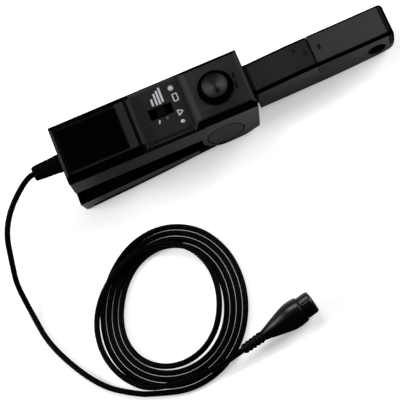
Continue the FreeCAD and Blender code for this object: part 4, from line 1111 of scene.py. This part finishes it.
@dataclass
class Eye:
    """The camera that matches the photographed view.

    Attributes:
        spot_mm: Where it stands in the frame.
        azimuth: Degrees around the object, 0 from the front.
        elevation: Degrees above the surface.
        roll: Degrees that it is turned about its own line of sight.
        lens_mm: Focal length.
        sensor_mm: Width of its sensor.
        far: Distance past which it sees nothing.
    """

    spot_mm: Point = (132.66, -466.6, 1133.9)
    azimuth: float = 23.04
    elevation: float = 68.22
    roll: float = -46.97
    lens_mm: float = 164.83
    sensor_mm: float = 36.0
    far: float = 20.0

    def build(self) -> None:
        """Set the scene's camera."""
        side, rise = math.radians(self.azimuth), math.radians(self.elevation)
        back = Vector((math.sin(side) * math.cos(rise), -math.cos(side) * math.cos(rise),
                       math.sin(rise)))
        level = Vector((math.cos(side), math.sin(side), 0))
        upward = back.cross(level)
        turn = math.radians(self.roll)
        right = level * math.cos(turn) + upward * math.sin(turn)
        up = back.cross(right)
        lens = bpy.data.cameras.new("eye")
        lens.lens = self.lens_mm
        lens.sensor_width = self.sensor_mm
        lens.clip_end = self.far
        camera = added("eye", lens)
        basis = Matrix((right, up, back)).transposed().to_4x4()
        camera.matrix_world = Matrix.Translation(Vector(self.spot_mm) * MM) @ basis
        bpy.context.scene.camera = camera


def eased(value: float, start: float, end: float) -> float:
    """Return 0 before the start and 1 past the end, with a smooth step between."""
    share = min(max((value - start) / (end - start), 0.0), 1.0)
    return share * share * (3.0 - 2.0 * share)


@dataclass
class Cord:
    """The cord: out of the strain relief, round its coil and into the plug.

    Attributes:
        radius_mm: Radius of the sheath.
        start_mm: Where it leaves the strain relief, along the probe and up.
        straight_mm: How far it runs straight on from there.
        lead_mm: Points of the lead down to the surface.
        coil_mm: Middle of the coil.
        first: Degrees at which the coil's first point stands.
        per_turn: Points in each turn of the coil.
        turns: Turns of the coil.
        outer_mm: Mean distance of its first turn from the middle.
        pitch_mm: How far each turn lies inside the last one.
        waves: Lobes, depth and place in degrees of each wave in the coil's outline.
        lift: Turns between which the cord climbs onto the coil.
        cross: Turn at which it starts outwards across the others.
        exit_mm: Distance from the middle where it leaves.
        over_mm: Height at which it crosses them.
        tail_mm: Points from the coil to the plug.
        ORDER: Order of the curve.
        FINENESS: Pieces of the curve between two points.
        ROUNDNESS: Fineness of the curve's round section.
    """

    radius_mm: float = 1.95
    start_mm: Pair = (-20.5, -15.5)
    straight_mm: float = 6.0
    lead_mm: tuple[Point, ...] = (
        (-166.1, -20.1, 39.0), (-177.0, -43.7, 16.9), (-179.7, -52.8, 11.8),
        (-179.5, -71.4, 1.95), (-175.3, -99.5, 1.95), (-154.1, -137.6, 1.95),
        (-131.5, -153.9, 1.95))
    coil_mm: Pair = (-91.8, -111.4)
    first: float = -120.0
    per_turn: int = 15
    turns: float = 5.0
    outer_mm: float = 55.0
    pitch_mm: float = 4.3
    waves: tuple[tuple[int, float, float], ...] = ((1, 3.1, 19.0), (2, 3.1, 129.0),
                                                   (3, 0.9, -151.0))
    lift: Pair = (3.85, 4.2)
    cross: float = 4.25
    exit_mm: float = 54.0
    over_mm: float = 6.2
    tail_mm: tuple[Point, ...] = ((-74.5, -161.8, 7.0), (-62.3, -159.9, 9.2))

    ORDER: ClassVar[int] = 3
    FINENESS: ClassVar[int] = 8
    ROUNDNESS: ClassVar[int] = 4

    def coil(self) -> list[Point]:
        """Return the points of the coil in millimetres, from the lead to the tail."""
        made: list[Point] = []
        for i in range(round(self.turns * self.per_turn) + 1):
            turn = i / self.per_turn
            angle = math.radians(self.first) + math.tau * turn
            reach = self.outer_mm - self.pitch_mm * min(turn, self.cross) + sum(
                deep * math.cos(lobes * angle - math.radians(spot))
                for lobes, deep, spot in self.waves)
            reach += (self.exit_mm - reach) * eased(turn, self.cross, self.turns)
            rise = self.radius_mm + (self.over_mm - self.radius_mm) * eased(turn, *self.lift)
            made.append((self.coil_mm[0] + reach * math.cos(angle),
                         self.coil_mm[1] + reach * math.sin(angle), rise))
        return made

    def points(self) -> list[Vector]:
        """Return the control points in metres."""
        along, up = self.start_mm
        leave = LIE.point(along, 0, up)
        aim = (leave - LIE.point(along + 1, 0, up)).normalized()
        rest = (*self.lead_mm, *self.coil(), *self.tail_mm, PLUG_REAR_MM)
        return [leave, leave + aim * self.straight_mm * MM, *(Vector(p) * MM for p in rest)]

    def build(self) -> bpy.types.Object:
        """Draw the cord as one smooth round curve."""
        curve = bpy.data.curves.new("cord", "CURVE")
        curve.dimensions = "3D"
        curve.bevel_depth = self.radius_mm * MM
        curve.bevel_resolution = self.ROUNDNESS
        curve.use_fill_caps = True
        spline = curve.splines.new("NURBS")
        places = self.points()
        spline.points.add(len(places) - 1)
        for spot, place in zip(spline.points, places):
            spot.co = (*place, 1.0)
        spline.order_u = self.ORDER
        spline.use_endpoint_u = True
        spline.resolution_u = self.FINENESS
        return added("cord", curve)

    def length(self, cord: bpy.types.Object) -> float:
        """Return the length of the drawn curve."""
        bare = cord.data.copy()
        bare.bevel_depth = 0.0
        holder = bpy.data.objects.new("cord_line", bare)
        mesh = bpy.data.meshes.new_from_object(holder)
        spots = [v.co.copy() for v in mesh.vertices]
        bpy.data.objects.remove(holder)
        bpy.data.meshes.remove(mesh)
        return sum((b - a).length for a, b in zip(spots, spots[1:]))


@dataclass
class Plug:
    """Boot with a ribbed neck, and the coupling barrel.

    Attributes:
        turn: Degrees from the frame's x axis to the plug's length.
        boot_mm: Length of the boot.
        wide_mm: Widest radius of the boot.
        neck_mm: Radius of the boot at the cord.
        rings: Rings on the neck.
        ring_start_mm: From the boot's rear to the first ring.
        ring_pitch_mm: From ring to ring.
        ring_grow_mm: How much each ring is wider than the last one.
        mouth_mm: Radius and depth of the bore in the boot's front.
        barrel_mm: Radius of the barrel.
        barrel_length_mm: From the boot's front to the barrel's.
        barrel_gap_mm: Gap between boot and barrel.
        wall_mm: Thickness of the barrel's rear wall.
        hole_mm: Radius of the hole in that wall.
        bore_mm: Radius of the barrel's bore.
        flutes: Grip flutes around the barrel.
        flute_mm: Depth of the flutes.
        BOOT_STEPS: Faces around the boot.
        BARREL_STEPS: Faces around the barrel.
    """

    turn: float = 10.7
    boot_mm: float = 46.4
    wide_mm: float = 9.2
    neck_mm: float = 3.0
    rings: int = 5
    ring_start_mm: float = 0.8
    ring_pitch_mm: float = 2.9
    ring_grow_mm: float = 0.1
    mouth_mm: Pair = (5.55, 8.6)
    barrel_mm: float = 7.75
    barrel_length_mm: float = 8.4
    barrel_gap_mm: float = 0.3
    wall_mm: float = 2.0
    hole_mm: float = 4.15
    bore_mm: float = 4.9
    flutes: int = 24
    flute_mm: float = 0.16

    BOOT_STEPS: ClassVar[int] = 64
    BARREL_STEPS: ClassVar[int] = 120

    def place(self) -> Matrix:
        """Return the matrix with z along the plug from the boot's rear."""
        angle = math.radians(self.turn)
        aim = Vector((math.cos(angle), math.sin(angle), 0))
        return toward(Vector(PLUG_REAR_MM) * MM, aim)

    def boot(self) -> Mesh:
        """Return the boot: a neck with rings that swells into the grip."""
        outline: list[Corner] = [(0, AXIS_MM, 0), (0, self.neck_mm, 0.5)]
        for ring in range(self.rings):
            foot = self.ring_start_mm + ring * self.ring_pitch_mm
            low = self.neck_mm - 0.1 + self.ring_grow_mm * ring
            outline += [(foot, low, 0.3), (foot + 0.5, low + 0.5, 0.5),
                        (foot + 1.8, low + 0.55, 0.5), (foot + 2.3, low + 0.05, 0.3)]
        mouth, deep = self.mouth_mm
        outline += [(16.0, self.neck_mm + 0.4, 1.5), (18.5, self.neck_mm + 1.0, 2.5),
                    (24, self.neck_mm + 2.7, 4), (33, self.wide_mm - 0.9, 3),
                    (37.5, self.wide_mm, 2), (42.5, self.wide_mm, 2),
                    (self.boot_mm, self.wide_mm - 0.7, 0.6), (self.boot_mm, mouth, 0),
                    (self.boot_mm - deep, mouth, 0), (self.boot_mm - deep, AXIS_MM, 0)]
        return turned_mesh(rounded(outline), self.BOOT_STEPS)

    def barrel(self) -> Mesh:
        """Return the coupling barrel, open in front, with grip flutes."""
        start, end = self.boot_mm + self.barrel_gap_mm, self.boot_mm + self.barrel_length_mm
        seat = start + self.wall_mm
        outline = [(seat, self.hole_mm, 0), (start, self.hole_mm, 0),
                   (start, self.barrel_mm - 0.1, 0.5), (start + 1.2, self.barrel_mm, 0.4),
                   (end - 1.6, self.barrel_mm, 0.5), (end, self.barrel_mm - 0.7, 0.6),
                   (end, self.bore_mm, 0.3), (seat, self.bore_mm, 0), (seat, self.hole_mm, 0)]

        def fluted(height: float, radius: float, angle: float) -> float:
            """Return the radius, less the flute where the grip is."""
            outer = radius > self.barrel_mm - 0.3 and start + 1 < height < end - 1.2
            deep = self.flute_mm * (0.5 + 0.5 * math.cos(self.flutes * angle))
            return radius - deep if outer else radius

        return turned_mesh(rounded(outline, 4), self.BARREL_STEPS, fluted, False, False)

    def build(self, paint: Paint) -> list[bpy.types.Object]:
        """Draw both pieces."""
        place = self.place()
        boot = drawn("plug_boot_shape", *self.boot(), place)
        barrel = drawn("plug_barrel_shape", *self.barrel(), place)
        return [dressed(boot, paint["boot"], Body.HOUSING, "plug_boot", "plug_boot"),
                dressed(barrel, paint["boot"], Body.BARREL, "plug_nut", "plug_nut")]


@dataclass
class Relief:
    """Tapered strain relief with a collar and shallow rings.

    Attributes:
        depth_mm: From the probe's top down to the cord outlet.
        root_mm: Radius at the housing.
        tip_mm: Radius at its end.
        length_mm: Length outside the housing.
        bore_mm: Radius of the opening at its end.
        neck_mm: Radius in the housing's wall.
        collar_mm: Radius behind the wall.
        collar_span_mm: Where the collar starts and ends, from the housing's face.
        rings: Shallow rings.
        ring_start_mm: From the housing to the first ring.
        ring_pitch_mm: From ring to ring.
        STEPS: Faces around.
    """

    depth_mm: float = 15.5
    root_mm: float = 6.2
    tip_mm: float = 4.6
    length_mm: float = 20.5
    bore_mm: float = 2.4
    neck_mm: float = 3.5
    collar_mm: float = 5.2
    collar_span_mm: Pair = (-3.9, -2.25)
    rings: int = 4
    ring_start_mm: float = 4.6
    ring_pitch_mm: float = 3.4

    STEPS: ClassVar[int] = 56

    def outline(self) -> list[Corner]:
        """Return its outline from the collar to its end."""
        start, end = self.collar_span_mm
        made: list[Corner] = [
            (start, AXIS_MM, 0), (start, self.collar_mm, 0.3), (end, self.collar_mm, 0),
            (end, self.neck_mm, 0), (0.05, self.neck_mm, 0), (0.05, self.root_mm, 0.5),
            (2.2, self.root_mm, 0.6)]
        for ring in range(self.rings):
            foot = self.ring_start_mm + ring * self.ring_pitch_mm
            wide = self.root_mm - (self.root_mm - self.tip_mm - 0.5) * foot / self.length_mm
            made += [(foot, wide, 0.3), (foot + 0.3, wide - 0.16, 0.2),
                     (foot + 0.7, wide - 0.18, 0.2), (foot + 1.0, wide - 0.06, 0.3)]
        return made + [(self.length_mm - 1.4, self.tip_mm + 0.45, 1.0),
                       (self.length_mm - 0.1, self.tip_mm - 0.1, 0.7),
                       (self.length_mm, self.bore_mm, 0.2), (self.length_mm, AXIS_MM, 0)]

    def build(self, paint: Paint) -> bpy.types.Object:
        """Draw it in place of the plain sleeve."""
        aim = LIE.point(-1, 0, 0) - LIE.point(0, 0, 0)
        place = toward(LIE.point(0, 0, -self.depth_mm), aim)
        shape = turned_mesh(rounded(self.outline()), self.STEPS)
        made = drawn("strain_relief_shape", *shape, place)
        return dressed(made, paint["relief"], Body.HOUSING, "strain_relief", "strain_relief")


@dataclass
class Dial:
    """The dished zero dial with a dark ribbed flank and a finger dimple.

    Attributes:
        foot_mm: Radius at its foot.
        top_mm: Height over the deck.
        flank_mm: From its foot inwards to the edge of its dished top.
        gap_mm: Gap over the deck.
        socket_mm: Radius of the opening for the shaft, and the height of its end.
        dish_mm: Depth of the dish.
        dish_power: How flat the middle of the dish is.
        dimple_deep_mm: Depth of the dimple.
        dimple_wide_mm: Radius at which the dimple is about a third as deep.
        ribs: Ribs on the flank.
        rib_in_mm: From the foot's radius inwards to the ribs.
        rib_size_mm: Rib size outward, around and along the axis.
        rib_lean: Degrees that the ribs lean inwards.
        rib_up_mm: Height of the ribs' middle over the deck.
        STEPS: Faces around.
        RINGS: Rings of points in the dish.
    """

    foot_mm: float = 12.0
    top_mm: float = 4.6
    flank_mm: float = 3.5
    gap_mm: float = 0.4
    socket_mm: Pair = (3.1, 2.0)
    dish_mm: float = 1.4
    dish_power: float = 2.6
    dimple_deep_mm: float = 0.75
    dimple_wide_mm: float = 1.35
    ribs: int = 48
    rib_in_mm: float = 1.75
    rib_size_mm: Point = (0.3, 0.4, 3.4)
    rib_lean: float = -55.0
    rib_up_mm: float = 2.9

    STEPS: ClassVar[int] = 96
    RINGS: ClassVar[int] = 22

    def rim_mm(self) -> float:
        """Return the radius of the dished top."""
        return self.foot_mm - self.flank_mm

    def level_mm(self, x: float, y: float) -> float:
        """Return the height of the dished top over the deck at a place on it."""
        share = math.hypot(x, y) / self.rim_mm()
        away = math.hypot(x - DIMPLE_MM[0], y - DIMPLE_MM[1])
        dimple = self.dimple_deep_mm * math.exp(-(away / self.dimple_wide_mm) ** 4)
        return self.top_mm - self.dish_mm * (1 - share ** self.dish_power) - dimple

    def dish(self) -> Mesh:
        """Return the dished top with its dimple, as rings of points."""
        points: list[Point] = []
        for ring in range(self.RINGS):
            reach = self.rim_mm() * (1 - ring / self.RINGS)
            for i in range(self.STEPS):
                angle = math.tau * i / self.STEPS
                x, y = reach * math.cos(angle), reach * math.sin(angle)
                points.append((x, y, self.level_mm(x, y)))
        faces = ring_faces(self.RINGS, self.STEPS)
        faces.append([(self.RINGS - 1) * self.STEPS + i for i in range(self.STEPS)])
        return points, faces

    def flank(self) -> Mesh:
        """Return the flank, open where the dished top closes it."""
        hole, end = self.socket_mm
        outline = [(end, AXIS_MM, 0), (end, hole, 0), (self.gap_mm, hole, 0),
                   (self.gap_mm, self.foot_mm, 0.3), (1.5, self.foot_mm, 0.6),
                   (self.top_mm - 0.3, self.rim_mm() + 0.5, 0.6),
                   (self.top_mm, self.rim_mm(), 0)]
        return turned_mesh(rounded(outline), self.STEPS, last=False)

    def build(self, paint: Paint) -> list[bpy.types.Object]:
        """Draw flank, dish and ribs."""
        place = LIE.matrix() @ Matrix.Translation((DIAL_X_MM * MM, 0, 0))
        flank = drawn("dial_flank", *self.flank(), place)
        top = drawn("dial_dish", *self.dish(), place)
        row = RoundRow("dial_ribs", self.ribs, self.foot_mm - self.rib_in_mm,
                       self.rib_size_mm, self.rib_lean, self.rib_up_mm)
        ribs = dressed(row.build(paint["flank"], place), paint["flank"], Body.DIAL, "zero_dial")
        return [dressed(flank, paint["flank"], Body.DIAL, "zero_dial", "zero_dial"),
                dressed(top, paint["dial"], Body.DIAL, "zero_dial", "zero_dial"), ribs]


@dataclass
class Marks:
    """Thin plain markings, each an outline laid on a face of the probe.

    Attributes:
        name: Name of the piece.
        finish: Which finish it has.
        slot: The record slot that it belongs to.
        level_mm: Height of the face it lies on, from the probe's top.
        shapes: Outlines in the probe's plan.
        slope: Rise of the face with each millimetre along the probe.
        start_mm: Where the face has that height, along the probe.
        thick_mm: Height of the markings over the face.
        lift_mm: Height of their underside over it.
    """

    name: str
    finish: str
    slot: str
    level_mm: float
    shapes: list[list[Pair]] = field(default_factory=list)
    slope: float = 0.0
    start_mm: float = 0.0
    thick_mm: float = 0.04
    lift_mm: float = 0.005

    def stroke(self, a: Pair, b: Pair, width: float) -> None:
        """Add a straight bar between two points."""
        along = Vector((b[0] - a[0], b[1] - a[1])).normalized()
        side = Vector((-along.y, along.x)) * width / 2
        self.shapes.append([(a[0] + side.x, a[1] + side.y), (a[0] - side.x, a[1] - side.y),
                            (b[0] - side.x, b[1] - side.y), (b[0] + side.x, b[1] + side.y)])

    def loop(self, corners: Sequence[Pair], width: float) -> None:
        """Add bars around a closed outline."""
        for a, b in zip(corners, [*corners[1:], corners[0]]):
            self.stroke(a, b, width)

    def ring(self, middle: Pair, radius: float, width: float, corners: int = 14) -> None:
        """Add a ring of short bars."""
        angles = [math.tau * k / corners for k in range(corners)]
        self.loop([(middle[0] + radius * math.cos(angle), middle[1] + radius * math.sin(angle))
                   for angle in angles], width)

    def build(self, paint: Paint) -> bpy.types.Object:
        """Draw the markings as thin solids."""
        points: list[Point] = []
        faces: list[list[int]] = []
        for shape in self.shapes:
            first, count = len(points), len(shape)
            for lift in (self.lift_mm, self.thick_mm):
                points += [(x, y, self.level_mm + (x - self.start_mm) * self.slope + lift)
                           for x, y in shape]
            around = [list(range(count))[::-1], [count + i for i in range(count)],
                      *ring_faces(2, count)]
            faces += [[first + i for i in face] for face in around]
        made = drawn(self.name, points, faces, LIE.matrix(), smooth=False)
        return dressed(made, paint[self.finish], Body.HOUSING, self.slot)


def field_marks() -> list[Marks]:
    """Return the bars, outlines and lamp ring of the switch field."""
    level, bar, line, lean = -4.5, 1.35, 0.75, 0.2
    bright = Marks("field_marks", "print_white", "switch_panel", level)
    for x, low, high in ((70.0, 6.9, 12.0), (72.7, 6.5, 15.0), (74.9, 6.3, 16.4),
                         (77.1, 7.1, 17.8)):
        bright.stroke((x, low), (x + lean, high), bar)
    bright.loop([(84.1, 4.3), (87.1, 4.3), (87.1, 9.4), (84.1, 9.4)], line)
    bright.loop([(83.4, -2.2), (87.0, -3.9), (83.7, -6.3)], line)
    bright.shapes.append([(71.1, -4.2), (69.7, -3.9), (69.3, -6.5), (69.8, -6.6)])
    bright.ring((84.95, 14.1), 1.75, 0.35)
    faint = Marks("faint_marks", "print_grey", "switch_panel", level)
    faint.stroke((76.1, -3.9), (75.5, -5.2), 1.0)
    return [bright, faint]


def worn_marks() -> list[Marks]:
    """Return the worn marks of the dial deck, the jaw and its nose."""
    deck = Marks("deck_marks", "print_dark", "main_housing", 0.0)
    deck.stroke((125.9, 5.1), (125.95, 1.2), 1.3)
    deck.stroke((125.5, -0.8), (125.1, -6.2), 1.25)
    jaw = Marks("jaw_marks", "print_soft", "upper_jaw", -6.3, slope=0.5 / 13.2, start_mm=166.0)
    jaw.stroke((168.4, 3.9), (168.4, 6.7), 2.3)
    jaw.stroke((175.0, -1.1), (175.0, 2.0), 2.6)
    nose = Marks("nose_marks", "print_soft", "jaw_nose", -5.8, slope=0.8 / 22.8, start_mm=179.2)
    nose.stroke((184.8, -1.2), (184.8, 2.7), 2.2)
    return [deck, jaw, nose]


@dataclass
class Lamp:
    """One soft area light.

    Attributes:
        name: Name of the light.
        spot: Where it stands.
        aim: What it looks at.
        size: Width and height.
        power: Watts.
    """

    name: str
    spot: Point
    aim: Point
    size: Pair
    power: float

    def build(self) -> bpy.types.Object:
        """Add the light to the stage."""
        data = bpy.data.lights.new(self.name, "AREA")
        data.shape = "RECTANGLE"
        data.size, data.size_y = self.size
        data.energy = self.power
        made = added(self.name, data)
        spot = Vector(self.spot)
        aim = (Vector(self.aim) - spot).to_track_quat("-Z", "Y").to_matrix().to_4x4()
        made.matrix_world = Matrix.Translation(spot) @ aim
        return made


@dataclass
class Studio:
    """Pale floor, surroundings and soft lights.

    Attributes:
        floor_size: Width of the floor.
        floor_colour: Its palest colour.
        floor_dim: What its darkest colour is multiplied by.
        floor_rough: Its roughness.
        floor_gleam: Its specular level.
        floor_gap_mm: How far it lies below the object.
        seen_lift: Light that the camera alone sees on it.
        horizon: Colour of the surroundings near the horizon.
        overhead: Their colour above it.
        sky_rise: Sines of the heights between which the one goes over into the other.
        lamps: The lights.
        CLOUDS: Pattern of the floor.
    """

    floor_size: float = 4.0
    floor_colour: Colour = (0.86, 0.86, 0.87)
    floor_dim: float = 0.985
    floor_rough: float = 0.9
    floor_gleam: float = 0.1
    floor_gap_mm: float = 0.05
    seen_lift: float = 0.42
    horizon: Colour = (0.9, 0.92, 0.96)
    overhead: Colour = (0.035, 0.036, 0.04)
    sky_rise: Pair = (0.06, 0.2)
    lamps: tuple[Lamp, ...] = (
        Lamp("left_soft", (-1.35, 0.25, 0.85), (0, 0, 0), (0.8, 0.6), 20.0),
        Lamp("right_soft", (1.35, 0.25, 0.85), (0, 0, 0), (0.8, 0.6), 20.0),
        Lamp("back_soft", (-0.06, 0.72, 1.05), (0, -0.05, 0), (0.7, 0.45), 6.0))

    CLOUDS: ClassVar[Noise] = Noise(3.0, 2.0)

    def floor(self) -> bpy.types.Object:
        """Lay the floor and paint it."""
        half, level = self.floor_size / 2 / MM, -self.floor_gap_mm
        corners = [(-half, -half, level), (half, -half, level), (half, half, level),
                   (-half, half, level)]
        made = drawn("floor", corners, [[0, 1, 2, 3]], smooth=False)
        shader = Shader("floor")
        pale = shader.blend(shader.noise(self.CLOUDS), self.floor_colour,
                            times(self.floor_colour, self.floor_dim))
        seen = shader.result("Is Camera Ray", "ShaderNodeLightPath")
        lift = shader.blend(seen, (0.0, 0.0, 0.0), (self.seen_lift,) * 3)
        made.data.materials.append(shader.surface(
            Base_Color=pale, Roughness=self.floor_rough, Specular_IOR_Level=self.floor_gleam,
            Emission_Color=lift, Emission_Strength=1.0))
        return made

    def world(self) -> None:
        """Set the plain surroundings."""
        world = bpy.data.worlds.new("surroundings")
        Sky(world).paint(self.horizon, self.overhead, *self.sky_rise)
        bpy.context.scene.world = world

    def build(self) -> None:
        self.world()
        self.floor()
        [lamp.build() for lamp in self.lamps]


def paint_nodes(paint: Paint) -> None:
    """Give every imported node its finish."""
    for name, finish in NODE_FINISH.items():
        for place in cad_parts[name].material_slots:
            place.material = paint[finish]
        LOG.info("painted %s with %s", name, finish)


def main() -> None:
    """Build everything in order and log each piece."""
    logging.basicConfig(level=logging.INFO, format="%(message)s")
    bpy.context.scene.view_settings.view_transform = "Standard"
    Eye().build()
    cord_plan = Cord()
    cord = cord_plan.build()
    real_length = cord_plan.length(cord)
    LOG.info("cord length %.4f m", real_length)
    paint = Finishes().build()
    dressed(cord, paint["sheath"], Body.HOUSING, "cable_lead", "cable_lead", "cable_coil")
    paint_nodes(paint)
    relief = Relief().build(paint)
    plug_parts = Plug().build(paint)
    for piece in (relief, *plug_parts, *Dial().build(paint)):
        LOG.info("built %s", piece.name)
    for marks in (*field_marks(), *worn_marks()):
        LOG.info("built %s", marks.build(paint).name)
    Studio().build()
    tuple(cord_plan.points()[0])


if __name__ == "__main__":
    main()
